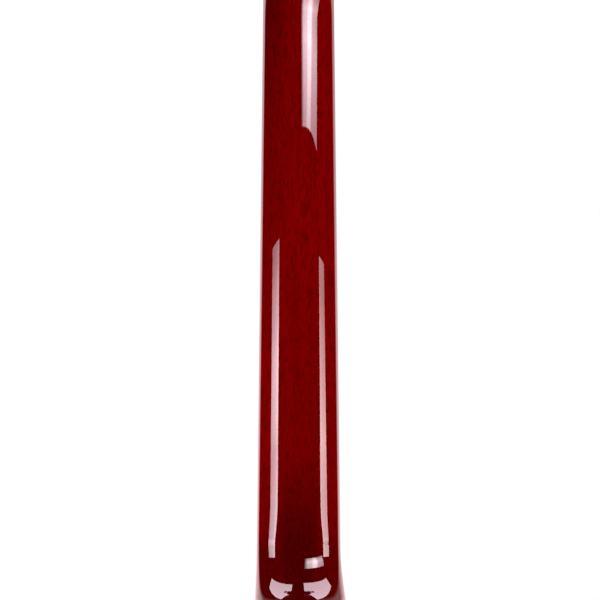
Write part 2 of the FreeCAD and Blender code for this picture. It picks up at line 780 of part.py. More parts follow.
def post_body(name):
    barrel = "post_dia / 2"
    waist = "post_waist_dia / 2"
    neck_in = "(post_dia - post_waist_dia) / 2"
    waist_low = f"{POST_TIP} + post_waist_start"
    waist_high = f"{waist_low} + post_waist_length"
    shoulder = "post_shoulder_dia / 2"
    made = turned(name, [
        ("0", POST_TIP), (f"{barrel} - post_tip_bevel", POST_TIP), (barrel, f"{POST_TIP} + post_tip_bevel"),
        (barrel, waist_low), (waist, f"{waist_low} + {neck_in}"), (waist, f"{waist_high} - {neck_in}"),
        (barrel, waist_high), (barrel, "-face_gap - post_shoulder_thick"),
        (shoulder, "-face_gap - post_shoulder_thick"), (shoulder, "-face_gap"), (barrel, "-face_gap"),
        (barrel, "plate_thick + face_gap"), ("0", "plate_thick + face_gap")])
    square = draw_square(sketch(made, "XY_Plane", "square", lift="plate_thick"), "post_square")
    pad(made, square, "wheel_lift + wheel_thick")
    middle = f"{POST_TIP} + post_waist_start + post_waist_length / 2"
    pocket_through(made, draw_circle(sketch(made, "YZ_Plane", "string_hole"), "string_hole_dia", up=middle))
    bore = draw_circle(sketch(made, "XY_Plane", "bore", lift=WHEEL_TOP), "wheel_screw_dia")
    bind(feature(made, "Pocket", bore), Length="wheel_screw_depth")
    return made


def bushing_body(name):
    bore = "post_dia / 2 + running_gap"
    return turned(name, [
        (bore, f"-{HEAD_THICK} + bushing_length"), (bore, f"-{HEAD_THICK} - bushing_flange_thick"),
        ("bushing_flange_dia / 2 - bushing_flange_bevel", f"-{HEAD_THICK} - bushing_flange_thick"),
        ("bushing_flange_dia / 2", f"-{HEAD_THICK} - bushing_flange_thick + bushing_flange_bevel"),
        ("bushing_flange_dia / 2", f"-{HEAD_THICK}"), ("bushing_hole_dia / 2", f"-{HEAD_THICK}"),
        ("bushing_hole_dia / 2", f"-{HEAD_THICK} + bushing_length")])


def button(name):
    """An oval grip with flat faces, its shaft's hole along Z; X is its thickness."""
    start = "(post_inset + button_gap)"
    middle = f"({start} + button_length / 2)"
    oval = doc.addObject("Part::Ellipsoid", f"{name}_oval")
    oval.Angle1, oval.Angle2, oval.Angle3 = -90.0, 90.0, 360.0
    bind(oval, Radius1="button_length / 2", Radius2="button_bulge / 2", Radius3="button_width / 2",
         Placement__Base__z=middle)
    flats = box(f"{name}_flats", ("-button_thick / 2", "button_thick / 2"), ("-button_width", "button_width"),
                (f"{start} - button_gap", f"{start} + button_length + button_gap"))
    grip = combine("Common", f"{name}_grip", oval, flats)
    neck = rod(f"{name}_neck", "button_neck_dia", "button_neck_length", start=start)
    bore = rod(f"{name}_bore", "shaft_dia", "button_gap + shaft_in_button", start=f"{start} - button_gap")
    return combine("Cut", name, combine("Fuse", f"{name}_outer", grip, neck), bore)


def along_worm(side):
    """Where the worm shaft's own frame lies in a machine's frame: Z outboard, Y away from the wheel."""
    away = Vector(0, -side, 0)
    outboard = Vector(1, 0, 0)
    middle = Vector(0, -side * number(CENTRES), number(WORM_HEIGHT))
    return frame_at(middle, away.cross(outboard), away, outboard)


def towards_worm(side):
    """A turn that brings a wheel's +X side to face the worm."""
    return Placement(Vector(0, 0, 0), Rotation(Vector(0, 0, 1), -90 * side))


plate_screws = []
bushings = []
post_holes = []
for string, side, place in machine_places():
    plate = node(f"tuner_plate_{string}", plate_body(f"tuner_plate_{string}", side))
    worm = node(f"worm_shaft_{string}", worm_shaft_body(f"worm_shaft_{string}"))
    key = node(f"key_button_{string}", button(f"key_button_{string}"))
    post = node(f"string_post_{string}", post_body(f"string_post_{string}"))
    wheel = node(f"worm_wheel_{string}", wheel_body(f"worm_wheel_{string}"))
    screw = node(f"wheel_screw_{string}", slotted_screw(f"wheel_screw_{string}", "wheel_screw_dia",
                                                        "wheel_screw_head", "wheel_screw_depth"))
    bushing = bushing_body(f"bushing_{string}")
    hole = rod(f"post_hole_{string}", "bushing_hole_dia", f"{HEAD_THICK} + 2 * veneer_thick")
    plate.Placement = place
    worm.Placement = place * along_worm(side)
    key.Placement = place * along_worm(side)
    post.Placement = place
    wheel.Placement = place * towards_worm(side)
    screw.Placement = place * Placement(Vector(0, 0, number(WHEEL_TOP)), Rotation())
    bushing.Placement = place
    hole.Placement = place * Placement(Vector(0, 0, -head_thick - size("veneer_thick")), Rotation())
    bushings.append(bushing)
    post_holes.append(hole)
    for end in (1, -1):
        screw = slotted_screw(f"plate_screw_{string}_{'high' if end > 0 else 'low'}", "plate_screw_dia",
                              "plate_screw_head", "plate_thick + plate_screw_depth")
        reach = end * (size("plate_length") / 2 - size("plate_screw_inset"))
        screw.Placement = place * Placement(Vector(0, reach, size("plate_thick")), Rotation())
        plate_screws.append(screw)
node("tuner_plate_screws", gather("tuner_plate_screws", plate_screws))
node("tuner_bushings", gather("tuner_bushings", bushings))
post_holes = gather("post_holes", post_holes)


# ---- Truss rod ----

ROD_Y = "(-rod_axis_depth)"
ROD_END = "(-rod_below_shoulder)"
SLOT_HALF = "((rod_dia + rod_slot_extra) / 2)"
CAVITY_Z = f"({BEND_Z} + rod_cavity_start)"
WASHER_END = f"({CAVITY_Z} + rod_washer_thick)"
ROD_NUT_Z = f"({WASHER_END} + face_gap)"

steel = rod("truss_rod_bar", "rod_dia", f"{ROD_NUT_Z} + rod_nut_length + rod_tip - {ROD_END}", start=ROD_END)
bind(steel, Placement__Base__y=ROD_Y)
node("truss_rod", steel)

anchor_blank = rod("anchor_blank", "anchor_dia", "anchor_length")
anchor_blank.Placement.Rotation = Rotation(Vector(1, 0, 0), -90)
bind(anchor_blank, Placement__Base__y=f"{ROD_Y} - anchor_length / 2", Placement__Base__z=ROD_END)
node("truss_rod_anchor", combine("Cut", "truss_rod_anchor", anchor_blank, steel))
anchor_pocket = rod("anchor_pocket", "anchor_dia", "rod_axis_depth + anchor_length / 2")
anchor_pocket.Placement.Rotation = Rotation(Vector(1, 0, 0), -90)
bind(anchor_pocket, Placement__Base__y=f"{ROD_Y} - anchor_length / 2", Placement__Base__z=ROD_END)

filler = box("filler_strip", (f"-{SLOT_HALF}", SLOT_HALF), (f"{ROD_Y} + rod_dia / 2", "0"),
             (f"{ROD_END} + anchor_dia / 2", BEND_Z))
node("truss_rod_filler", filler)

washer_blank = rod("washer_blank", "rod_washer_dia", "rod_washer_thick", start=CAVITY_Z)
bind(washer_blank, Placement__Base__y=ROD_Y)
node("truss_rod_washer", combine("Cut", "truss_rod_washer", washer_blank, steel))

hexagon = doc.addObject("Part::Prism", "rod_nut_blank")
hexagon.Polygon = 6
bind(hexagon, Circumradius="rod_nut_flats / sqrt(3)", Height="rod_nut_length", Placement__Base__y=ROD_Y,
     Placement__Base__z=ROD_NUT_Z)
nut_bore = bind(rod("rod_nut_bore", "rod_dia + 2 * running_gap", "rod_nut_length + 2 * face_gap",
                    start=f"{ROD_NUT_Z} - face_gap"), Placement__Base__y=ROD_Y)
node("truss_rod_nut", combine("Cut", "truss_rod_nut", hexagon, nut_bore))

rod_slot = box("rod_slot", (f"-{SLOT_HALF}", SLOT_HALF), (f"{ROD_Y} - {SLOT_HALF}", "veneer_thick"),
               (ROD_END, f"{CAVITY_Z} + veneer_thick"))
rod_cavity = box("rod_cavity", ("-rod_cavity_width / 2", "rod_cavity_width / 2"),
                 (f"{ROD_Y} - rod_cavity_floor", "veneer_thick"),
                 (CAVITY_Z, f"{CAVITY_Z} + rod_cavity_length"))

cover = body("truss_rod_cover")
outline = draw_arch(sketch(cover, "XY_Plane", "outline"), "0", "cover_base_half", "cover_tip_half",
                    "cover_start", "cover_start + cover_length - cover_tip_half")
cover_flat = pad(cover, outline, "cover_thick")
doc.recompute()
top_face = max(range(len(cover_flat.Shape.Faces)), key=lambda k: cover_flat.Shape.Faces[k].CenterOfMass.z)
cover_edge = cover.newObject("PartDesign::Chamfer", "truss_rod_cover_bevel")
cover_edge.Base = (cover_flat, [f"Face{top_face + 1}"])
bind(cover_edge, Size="cover_bevel")
cover_holes = sketch(cover, "XY_Plane", "holes")
cover_screw_places = [(1, "(cover_base_half - cover_screw_inset)", "(cover_start + cover_screw_inset)"),
                      (-1, "(cover_base_half - cover_screw_inset)", "(cover_start + cover_screw_inset)"),
                      (0, "0", "(cover_start + cover_length - cover_screw_inset)")]
cover_screws = []
for index, (side, across, up) in enumerate(cover_screw_places):
    draw_circle(cover_holes, "cover_screw_dia", f"{side} * {across}" if side else "0", up)
    screw = slotted_screw(f"cover_screw_{index}", "cover_screw_dia", "cover_screw_head",
                          "cover_thick + cover_screw_depth")
    screw.Placement = on_face(side * number(across), number(up), size("cover_thick"))
    cover_screws.append(screw)
pocket_through(cover, cover_holes)
cover.Placement = on_face(0, 0)
node("truss_rod_cover", cover)
node("truss_cover_screws", gather("truss_cover_screws", cover_screws))


# ---- Wood ----

neck_wood = solid("neck_wood", neck_blank())
board_wood = solid("head_board", head_board())
doc.recompute()



def past_bend(name, left, right):
    """A block that holds everything past the bend between two planes across the headstock."""
    return box(name, (left, right), ("-head_length", "head_length"), (BEND_Z, f"{BEND_Z} + head_length * 2"))


core_slab = past_bend("core_slab", "-core_half", "core_half")
bass_slab = past_bend("bass_slab", "core_half", "head_length")
treble_slab = past_bend("treble_slab", "-head_length", "-core_half")
head_core = combine("Common", "head_core", board_wood, core_slab)
node("headstock_wing_bass", combine("Common", "headstock_wing_bass", board_wood, bass_slab))
node("headstock_wing_treble", combine("Common", "headstock_wing_treble", board_wood, treble_slab))

tenon_block = box("tenon_block", ("-tenon_width / 2", "tenon_width / 2"), ("-tenon_depth", "0"),
                  ("-tenon_length", "cap_round"))
doc.recompute()


def under_tenon(edge):
    """Whether an edge bounds the tenon's floor, other than the one inside the heel."""
    on_floor = edge.BoundBox.YMax < GRAZE - size("tenon_depth")
    return on_floor and edge.CenterOfMass.z < size("cap_round") - GRAZE


under = [k for k, edge in enumerate(tenon_block.Shape.Edges, start=1) if under_tenon(edge)]
tenon = doc.addObject("Part::Fillet", "tenon")
tenon.Base = tenon_block
tenon.Edges = [(k, size("tenon_round"), size("tenon_round")) for k in under]

joined = doc.addObject("Part::MultiFuse", "neck_joined")
joined.Shapes = [neck_wood, head_core, tenon]
joined.Refine = False             # merging faces over the headstock's bend would spoil them
hollows = doc.addObject("Part::MultiFuse", "neck_hollows")
hollows.Shapes = [rod_slot, rod_cavity, anchor_pocket, post_holes, nodes["tuner_plate_screws"],
                  nodes["truss_cover_screws"]]
neck_shaft = combine("Cut", "neck_shaft", joined, hollows)
neck_shaft.Refine = False
node("neck_shaft", neck_shaft)

veneer_wire = head_outline(-2 * size("veneer_thick"))
veneer_slab = solid("veneer_slab", Part.Face(veneer_wire).extrude(Vector(0, 0, size("veneer_thick"))))
veneer_slab.Placement = on_face(0, 0, -size("veneer_thick"))
veneer_openings = doc.addObject("Part::MultiFuse", "veneer_openings")
veneer_openings.Shapes = [rod_cavity, post_holes, nodes["truss_cover_screws"]]
whole_head = past_bend("whole_head", "-head_length", "head_length")
veneer = combine("Common", "veneer_trimmed", veneer_slab, whole_head)
node("headstock_veneer", combine("Cut", "headstock_veneer", veneer, veneer_openings))


# ---- Fingerboard ----

CROWN_Y = "(board_thick - board_radius)"


def crowned(name, blank, rise="0"):
    """What of a blank lies under the fingerboard's crowned face, raised by rise."""
    length = f"{BEND_Z} - {BOARD_END} + 2 * binding_thick"
    start = f"{BOARD_END} - binding_thick"
    crown = rod(f"{name}_crown", f"2 * (board_radius + {rise})", length, start=start)
    bind(crown, Placement__Base__y=CROWN_Y)
    return combine("Common", f"{name}_crowned", blank, crown)


def strip(name, inner, outer, low, high):
    """A crowned strip of the fingerboard between two sides, each a pair of expressions for its ends."""
    made = body(f"{name}_blank")
    shape = draw_polygon(sketch(made, "XZ_Plane", "outline"),
                         [(inner[0], low), (outer[0], low), (outer[1], high), (inner[1], high)])
    pad(made, shape, "board_thick * 2", Reversed=True)
    return crowned(name, made)


end_half = half_width_at(BOARD_END)
inner_end_half = half_width_at(f"{BOARD_END} + binding_thick")
nut_half = half_width_at(NUT_Z)
bass_strip = strip("binding_bass", (f"{end_half} - binding_thick", f"{nut_half} - binding_thick"),
                   (end_half, nut_half), BOARD_END, NUT_Z)
treble_strip = strip("binding_treble", (f"-{end_half}", f"-{nut_half}"),
                     (f"binding_thick - {end_half}", f"binding_thick - {nut_half}"), BOARD_END, NUT_Z)
end_strip = strip("binding_end", (f"binding_thick - {end_half}", f"binding_thick - {inner_end_half}"),
                  (f"{end_half} - binding_thick", f"{inner_end_half} - binding_thick"),
                  BOARD_END, f"{BOARD_END} + binding_thick")
rosewood = strip("fingerboard", (f"binding_thick - {inner_end_half}", f"binding_thick - {nut_half}"),
                 (f"{inner_end_half} - binding_thick", f"{nut_half} - binding_thick"),
                 f"{BOARD_END} + binding_thick", NUT_Z)


def bent_bar(profile, z, half):
    """A profile of height over the board and place along Z, swept over the crowned face to a half width."""
    centre_y = number(CROWN_Y)
    swing = math.degrees(math.asin(half / size("board_radius")))
    face = Part.Face(profile(size("board_radius") + centre_y, z))
    axis = Vector(0, centre_y, 0)
    face.rotate(axis, Vector(0, 0, 1), -swing)
    return face.revolve(axis, Vector(0, 0, 1), 2 * swing)


def crown_profile(y, z):
    wide = size("fret_width") / 2
    ends = [Vector(0, y, z - wide), Vector(0, y, z + wide)]
    arc = Part.Arc(ends[0], Vector(0, y + size("fret_height"), z), ends[1])
    return Part.Wire([arc.toShape(), Part.LineSegment(ends[1], ends[0]).toShape()])


def tang_profile(y, z):
    wide = size("tang_thick") / 2
    deep = size("tang_depth")
    return Part.makePolygon([Vector(0, y, z - wide), Vector(0, y, z + wide), Vector(0, y - deep, z + wide),
                             Vector(0, y - deep, z - wide), Vector(0, y, z - wide)])


def fret(count):
    z = number(fret_place(count))
    half = half_width(z) - size("fret_inset")
    edge_y = math.sqrt(size("board_radius") ** 2 - half ** 2) + number(CROWN_Y)
    lean = math.tan(math.radians(size("fret_end_bevel")))
    rise = 2 * size("fret_height") + size("board_thick") - edge_y
    low = size("tang_depth")
    corners = [(-half, edge_y - low), (half, edge_y - low), (half, edge_y),
               (half - rise * lean, edge_y + rise), (rise * lean - half, edge_y + rise),
               (-half, edge_y), (-half, edge_y - low)]
    envelope = Part.makePolygon([Vector(x, y, 0) for x, y in corners])
    envelope.translate(Vector(0, 0, z - size("fret_width")))
    room = Part.Face(envelope).extrude(Vector(0, 0, 2 * size("fret_width")))
    return bent_bar(crown_profile, z, half_width(z)).common(room).fuse(tang(count))


def tang(count):
    z = number(fret_place(count))
    return bent_bar(tang_profile, z, half_width(z) - size("binding_thick") - size("tang_inset"))


fret_counts = range(1, int(size("fret_count")) + 1)
node("frets", solid("frets", Part.makeCompound([fret(count) for count in fret_counts])))
fret_slots = solid("fret_slots", Part.makeCompound([tang(count) for count in fret_counts]))


def before_fret(count):
    """Halfway between a fret and the one on its nut side."""
    return f"(({fret_place(count)} + {fret_place(count - 1)}) / 2)"


def dot(count, sign):
    """The blank of a round marker before a fret; sign puts it on one side of the centreline, or on it."""
    made = rod(f"dot_{count}_{sign + 1}", "marker_dia", "board_thick * 2")
    made.Placement.Rotation = Rotation(Vector(1, 0, 0), -90)
    return bind(made, Placement__Base__x=f"{sign} * marker_pair_spacing / 2",
                Placement__Base__y="board_thick - marker_depth", Placement__Base__z=before_fret(count))


def side_dot(count, sign):
    made = rod(f"side_dot_{count}_{sign + 1}", "side_marker_dia", "side_marker_depth + binding_thick")
    made.Placement.Rotation = Rotation(Vector(0, 1, 0), 90)
    middle = f"({before_fret(count)} + {sign} * side_marker_spacing / 2)"
    return bind(made, Placement__Base__x=f"{half_width_at(middle)} - side_marker_depth",
                Placement__Base__y="side_marker_height", Placement__Base__z=middle)


marks = [(count, sign) for count in MARKED_FRETS for sign in ((1, -1) if count == OCTAVE else (0,))]
dots = crowned("fret_markers", gather("dot_blanks", [dot(count, sign) for count, sign in marks]))
side_dots = gather("side_dot_blanks", [side_dot(count, sign) for count, sign in marks])
board_hollows = doc.addObject("Part::MultiFuse", "board_hollows")
board_hollows.Shapes = [fret_slots, dots]
node("fingerboard", combine("Cut", "fingerboard", rosewood, board_hollows))
node("fret_markers", dots)
node("binding_treble", treble_strip)
node("binding_end", end_strip)
node("binding_bass", combine("Cut", "binding_bass", bass_strip, side_dots))
node("side_markers", combine("Common", "side_markers", bass_strip, side_dots))

nut_blank = body("nut_blank")
nut_outline = draw_polygon(sketch(nut_blank, "XZ_Plane", "outline"), [
    (f"-{half_width_at(NUT_Z)}", NUT_Z), (half_width_at(NUT_Z), NUT_Z),
    (half_width_at(BEND_Z), BEND_Z), (f"-{half_width_at(BEND_Z)}", BEND_Z)])
pad(nut_blank, nut_outline, "board_thick * 2", Reversed=True)
nut_top = crowned("nut", nut_blank, rise="nut_rise")
nut_cuts = []
for index in range(len(STRINGS)):
    slot = doc.addObject("Part::Box", f"nut_slot_{index}")
    bind(slot, Length="string_slot_width", Width="board_thick", Height="nut_thick * 3")
    across = size("string_spread") * (0.5 - index / (len(STRINGS) - 1))
    crest = math.sqrt((size("board_radius") + size("nut_rise")) ** 2 - across ** 2) + number(CROWN_Y)
    lean = Rotation(Vector(1, 0, 0), size("nut_slope"))
    entry = Vector(across - size("string_slot_width") / 2, crest - size("string_slot_depth"), nut_z)
    slot.Placement = Placement(entry, lean) * Placement(Vector(0, 0, -size("nut_thick")), Rotation())
    nut_cuts.append(slot)
back_slope = doc.addObject("Part::Box", "nut_back_slope")
bind(back_slope, Length="nut_width * 2", Width="board_thick", Height="nut_thick * 3")
ridge = Vector(-size("nut_width"), size("board_thick") + size("nut_rise"), nut_z + size("nut_thick") / 3)
back_slope.Placement = Placement(ridge, Rotation(Vector(1, 0, 0), size("nut_slope")))
nut_hollows = doc.addObject("Part::MultiFuse", "nut_hollows")
nut_hollows.Shapes = nut_cuts + [back_slope]
node("nut", combine("Cut", "nut", nut_top, nut_hollows))


# ---- Check and write ----

doc.recompute()
for thing in doc.Objects:
    if {"Invalid", "Error"} & set(thing.State):
        raise RuntimeError(f"{thing.Name} failed: {thing.State}")
for name, thing in nodes.items():
    if thing.Shape.isNull() or not thing.Shape.isValid() or not thing.Shape.Solids:
        raise RuntimeError(f"{name} has no valid solid")
os.makedirs("parts", exist_ok=True)
for name, thing in nodes.items():
    thing.Shape.exportStep(f"parts/{name}.step")
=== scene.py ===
"""The finish and the setting of an electric guitar's set neck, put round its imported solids.

X runs across the neck to its bass side, Y from its back to its fingerboard, and Z from the heel's shoulder up
to the headstock.
"""
import math

import bpy
from mathutils import Matrix, Vector


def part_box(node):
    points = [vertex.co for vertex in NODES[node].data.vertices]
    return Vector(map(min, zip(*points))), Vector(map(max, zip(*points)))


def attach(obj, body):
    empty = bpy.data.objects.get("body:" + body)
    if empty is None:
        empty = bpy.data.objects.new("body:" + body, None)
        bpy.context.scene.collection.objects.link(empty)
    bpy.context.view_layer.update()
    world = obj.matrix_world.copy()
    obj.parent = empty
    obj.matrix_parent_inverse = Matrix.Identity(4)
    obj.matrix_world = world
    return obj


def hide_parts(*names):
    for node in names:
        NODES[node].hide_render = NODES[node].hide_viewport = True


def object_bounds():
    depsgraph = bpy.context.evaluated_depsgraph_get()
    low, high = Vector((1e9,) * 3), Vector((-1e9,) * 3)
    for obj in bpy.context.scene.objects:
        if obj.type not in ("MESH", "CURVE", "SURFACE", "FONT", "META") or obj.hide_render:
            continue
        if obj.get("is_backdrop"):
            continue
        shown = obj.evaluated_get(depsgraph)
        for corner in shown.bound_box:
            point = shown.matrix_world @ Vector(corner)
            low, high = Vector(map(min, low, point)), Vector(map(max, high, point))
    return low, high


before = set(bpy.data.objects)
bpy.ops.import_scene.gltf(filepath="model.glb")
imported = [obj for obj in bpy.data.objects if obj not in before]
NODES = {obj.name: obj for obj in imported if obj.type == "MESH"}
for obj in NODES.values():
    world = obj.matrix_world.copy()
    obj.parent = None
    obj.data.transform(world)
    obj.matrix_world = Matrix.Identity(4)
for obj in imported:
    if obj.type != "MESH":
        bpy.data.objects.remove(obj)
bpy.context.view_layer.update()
MM = 0.001
FAR = 100.0                      # how far a cutting block reaches past what it cuts, in millimetres
STRINGS = ["low_e", "a", "d", "g", "b", "high_e"]


# ---- The neck's measures, in millimetres ----

nut_low, nut_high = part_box("nut")
NUT_Z, BEND_Z = nut_low.z / MM, nut_high.z / MM
NUT_HALF = 21.5
TAPER = 8.3 / 628.65             # half width gained for each millimetre down the neck
NUT_DEPTH = 15.2
DEEPENING = 4.4 / 628.65         # depth gained for each millimetre down the neck
BACK_FULLNESS = 2.35             # exponent of the back's superellipse
HEEL_FULLNESS = 3.35
HEEL_REACH = 66.0                # the back starts to fill out this far above the shoulder
COVE_START, COVE_RADIUS, COVE_ANGLE = 46.0, 40.0, math.radians(65)
COVE_END = COVE_START - COVE_RADIUS * math.sin(COVE_ANGLE)
CAP_ROUND = 9.5
CAP_START = COVE_END - CAP_ROUND * math.sin(COVE_ANGLE)
FLARES = {1: 3.6, -1: 0.9}       # on the bass side and the treble side
FLARE_REACH, FLARE_DROP = 45.0, 10.0
TILT = math.radians(14)
HEAD_THICK, VENEER = 15.5, 1.5
BLEND_BELOW, BLEND_ABOVE = 26.0, 28.0
BEND_HALF = 16.0
EDGE_ROUND = 1.6
EDGE_FROM, EDGE_TO = 40, 50      # the degrees of a section's sweep that go round the headstock's edge
SEAM = 0.03                      # the skin ends this far inside the headstock's outline
FLARE_RADIUS = 52.07             # of the headstock's outline above the nut
ALONG = Vector((0, -math.sin(TILT), math.cos(TILT)))
FACING = Vector((0, math.cos(TILT), math.sin(TILT)))
SLOT_HALF, SLOT_FLOOR = 2.5, 11.5
CAVITY_HALF, CAVITY_FLOOR, CAVITY_START, CAVITY_LENGTH = 6.5, 14.1, 2.0, 25.0
PLY_LOW, PLY_HIGH = 1.24, 1.80   # the white ply of the truss rod cover, above the headstock's wood
PLY_BLUR = 0.02
TOUCHING, SLACK = 0.001, 0.1     # for telling faces by their place


def ease(share):
    """A share from 0 to 1 that sets off and arrives gently."""
    share = min(max(share, 0.0), 1.0)
    return share * share * (3 - 2 * share)


def half_width(z):
    """Half the width of the fingerboard's glue line."""
    return NUT_HALF + TAPER * (NUT_Z - z)


def straight_depth(z):
    """Depth of the straight neck below the glue line."""
    return NUT_DEPTH + DEEPENING * (NUT_Z - z)


def heel_depth(z):
    """Depth of the back from the heel's cap through its round and its cove to the straight neck."""
    deep = straight_depth(COVE_START)
    cap = deep + (COVE_RADIUS + CAP_ROUND) * (1 - math.cos(COVE_ANGLE))
    if z >= COVE_START:
        return straight_depth(z)
    if z >= COVE_END:
        return deep + COVE_RADIUS - math.sqrt(COVE_RADIUS ** 2 - (COVE_START - z) ** 2)
    if z >= CAP_START:
        return cap - CAP_ROUND + math.sqrt(CAP_ROUND ** 2 - (z - CAP_START) ** 2)
    return cap


def superellipse(angle, across, down, fullness):
    """A point of the rounded back: angle 0 is its edge at the fingerboard and 90 degrees its middle."""
    return across * max(math.cos(angle), 0.0) ** (2 / fullness), down * math.sin(angle) ** (2 / fullness)


def square_back(angle, across, down):
    """The same sweep over the headstock's square back with its rounded edges."""
    swept = math.degrees(angle)
    if swept <= EDGE_FROM:
        return across, (down - EDGE_ROUND) * swept / EDGE_FROM
    if swept >= EDGE_TO:
        return (across - EDGE_ROUND) * (90 - swept) / (90 - EDGE_TO), down
    corner = math.radians(90 * (swept - EDGE_FROM) / (EDGE_TO - EDGE_FROM))
    return (across - EDGE_ROUND + EDGE_ROUND * math.cos(corner),
            down - EDGE_ROUND + EDGE_ROUND * math.sin(corner))


def shaft_point(z, side, angle):
    """A point of a level section, from the heel's shoulder to where the headstock's bend begins."""
    across = half_width(z)
    fullness = BACK_FULLNESS + (HEEL_FULLNESS - BACK_FULLNESS) * ease(1 - z / HEEL_REACH)
    x, y = superellipse(angle, across, heel_depth(z), fullness)
    flare = FLARES[side] * max(0.0, 1 - z / FLARE_REACH) ** 2 * ease(y / FLARE_DROP)
    return Vector((side * x * (1 + flare / across), -y, z))


def back_line(z):
    """Depth of the back round the headstock's bend: two straight lines joined by a parabola."""
    rise = math.tan(TILT) + DEEPENING
    head_start = HEAD_THICK / math.cos(TILT)
    past = z - BEND_Z - (straight_depth(BEND_Z) - head_start) / rise
    if past <= -BEND_HALF:
        return straight_depth(z)
    if past >= BEND_HALF:
        return head_start + math.tan(TILT) * (z - BEND_Z)
    return straight_depth(z) + rise * (past + BEND_HALF) ** 2 / (4 * BEND_HALF)


def head_half(v):
    """Half the width of the wood at a height past the bend."""
    if v < 0:
        return half_width(BEND_Z + v)
    start = -math.atan(TAPER)
    lean = math.asin(v / FLARE_RADIUS + math.sin(start))
    return half_width(BEND_Z) + FLARE_RADIUS * (math.cos(start) - math.cos(lean))


def bend_point(v, side, angle):
    """A point of a section past the bend, whose plane tips over with the headstock."""
    share = ease((v + BLEND_BELOW) / (BLEND_BELOW + BLEND_ABOVE))
    lean = TILT * share
    top = Vector((0, 0, BEND_Z)) + (ALONG * v if v > 0 else Vector((0, 0, v)))
    inward = Vector((0, -math.cos(lean), -math.sin(lean)))
    down = straight_depth(BEND_Z)
    for _ in range(12):          # steps along the tipped section until it meets the back's line
        reached = top + inward * down
        down += (back_line(reached.z) + reached.y) / math.cos(lean)
    across, down = head_half(v) - SEAM * share, down - SEAM * share
    x, y = superellipse(angle, across, down, BACK_FULLNESS)
    square_x, square_y = square_back(angle, across, down)
    return top + Vector((side * (x + (square_x - x) * share), 0, 0)) + inward * (y + (square_y - y) * share)


# ---- Modelling ----

def only(thing):
    """Leaves just this piece selected and active."""
    bpy.ops.object.select_all(action="DESELECT")
    thing.select_set(True)
    bpy.context.view_layer.objects.active = thing


def cut(thing, tool, kind="DIFFERENCE"):
    """Joins, cuts or trims a piece with another one, which is then gone."""
    modifier = thing.modifiers.new("shape", "BOOLEAN")
    modifier.operation, modifier.object, modifier.solver = kind, tool, "EXACT"
    only(thing)
    bpy.ops.object.modifier_apply(modifier=modifier.name)
    bpy.data.objects.remove(tool)


def block(low, high, place=Matrix.Identity(4)):
    """A block between two corners in millimetres, in a frame that place gives."""
    bpy.ops.object.select_all(action="DESELECT")
    bpy.ops.mesh.primitive_cube_add(size=1)
    low, high = Vector(low), Vector(high)
    grow = Matrix.Translation((low + high) / 2) @ Matrix.Diagonal((*(high - low), 1))
    bpy.context.object.data.transform(Matrix.Scale(MM, 4) @ place @ grow)
    return bpy.context.object


def solid_of(node):
    """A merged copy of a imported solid."""
    thing = NODES[node].copy()
    thing.data = thing.data.copy()
    thing.parent = None
    for key in list(thing.keys()):
        del thing[key]
    bpy.context.scene.collection.objects.link(thing)
    only(thing)
    bpy.ops.object.mode_set(mode="EDIT")
    bpy.ops.mesh.select_all(action="SELECT")
    bpy.ops.mesh.remove_doubles(threshold=0.001 * MM)
    bpy.ops.mesh.customdata_custom_splitnormals_clear()
    bpy.ops.object.mode_set(mode="OBJECT")
    return thing


def smooth(thing, degrees=30):
    """Shades a piece smooth, with edges sharper than this kept crisp."""
    only(thing)
    bpy.ops.object.shade_smooth_by_angle(angle=math.radians(degrees))


def use(thing, kind, **settings):
    """Adds a modifier with these settings and applies it."""
    modifier = thing.modifiers.new("shape", kind)
    for name, value in settings.items():
        setattr(modifier, name, value)
    only(thing)
    bpy.ops.object.modifier_apply(modifier=modifier.name)


def eased(node, width):
    """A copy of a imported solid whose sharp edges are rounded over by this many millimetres."""
    thing = solid_of(node)
    bpy.ops.object.mode_set(mode="EDIT")
    bpy.ops.mesh.select_all(action="SELECT")
    bpy.ops.mesh.dissolve_limited(angle_limit=math.radians(1))
    bpy.ops.object.mode_set(mode="OBJECT")
    smooth(thing, 35)
    use(thing, "BEVEL", width=width * MM, segments=2, limit_method="ANGLE", angle_limit=math.radians(40),
        harden_normals=True)
    return thing


def cast_button(string):
    """A key's oval grip, cast and then tumbled until its rims are soft."""
    thing = solid_of(f"key_button_{string}")
    use(thing, "REMESH", mode="VOXEL", voxel_size=0.28 * MM)
    use(thing, "SMOOTH", factor=0.5, iterations=7)
    smooth(thing, 45)
    return thing


def put_in(thing, name, body, slot, *nodes):
    """Names a finished piece and puts it in the place of these CAD nodes."""
    thing.name = thing.data.name = name
    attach(thing, body)
    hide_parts(*nodes)
    return thing


HEAD_FRAME = (Matrix.Translation((0, 0, BEND_Z))
              @ Matrix((Vector((1, 0, 0)), ALONG, -FACING)).transposed().to_4x4())


def steps(start, end, count):
    """Evenly spaced places from the start up to the end, which is left for the next run."""
    return [start + (end - start) * k / count for k in range(count)]


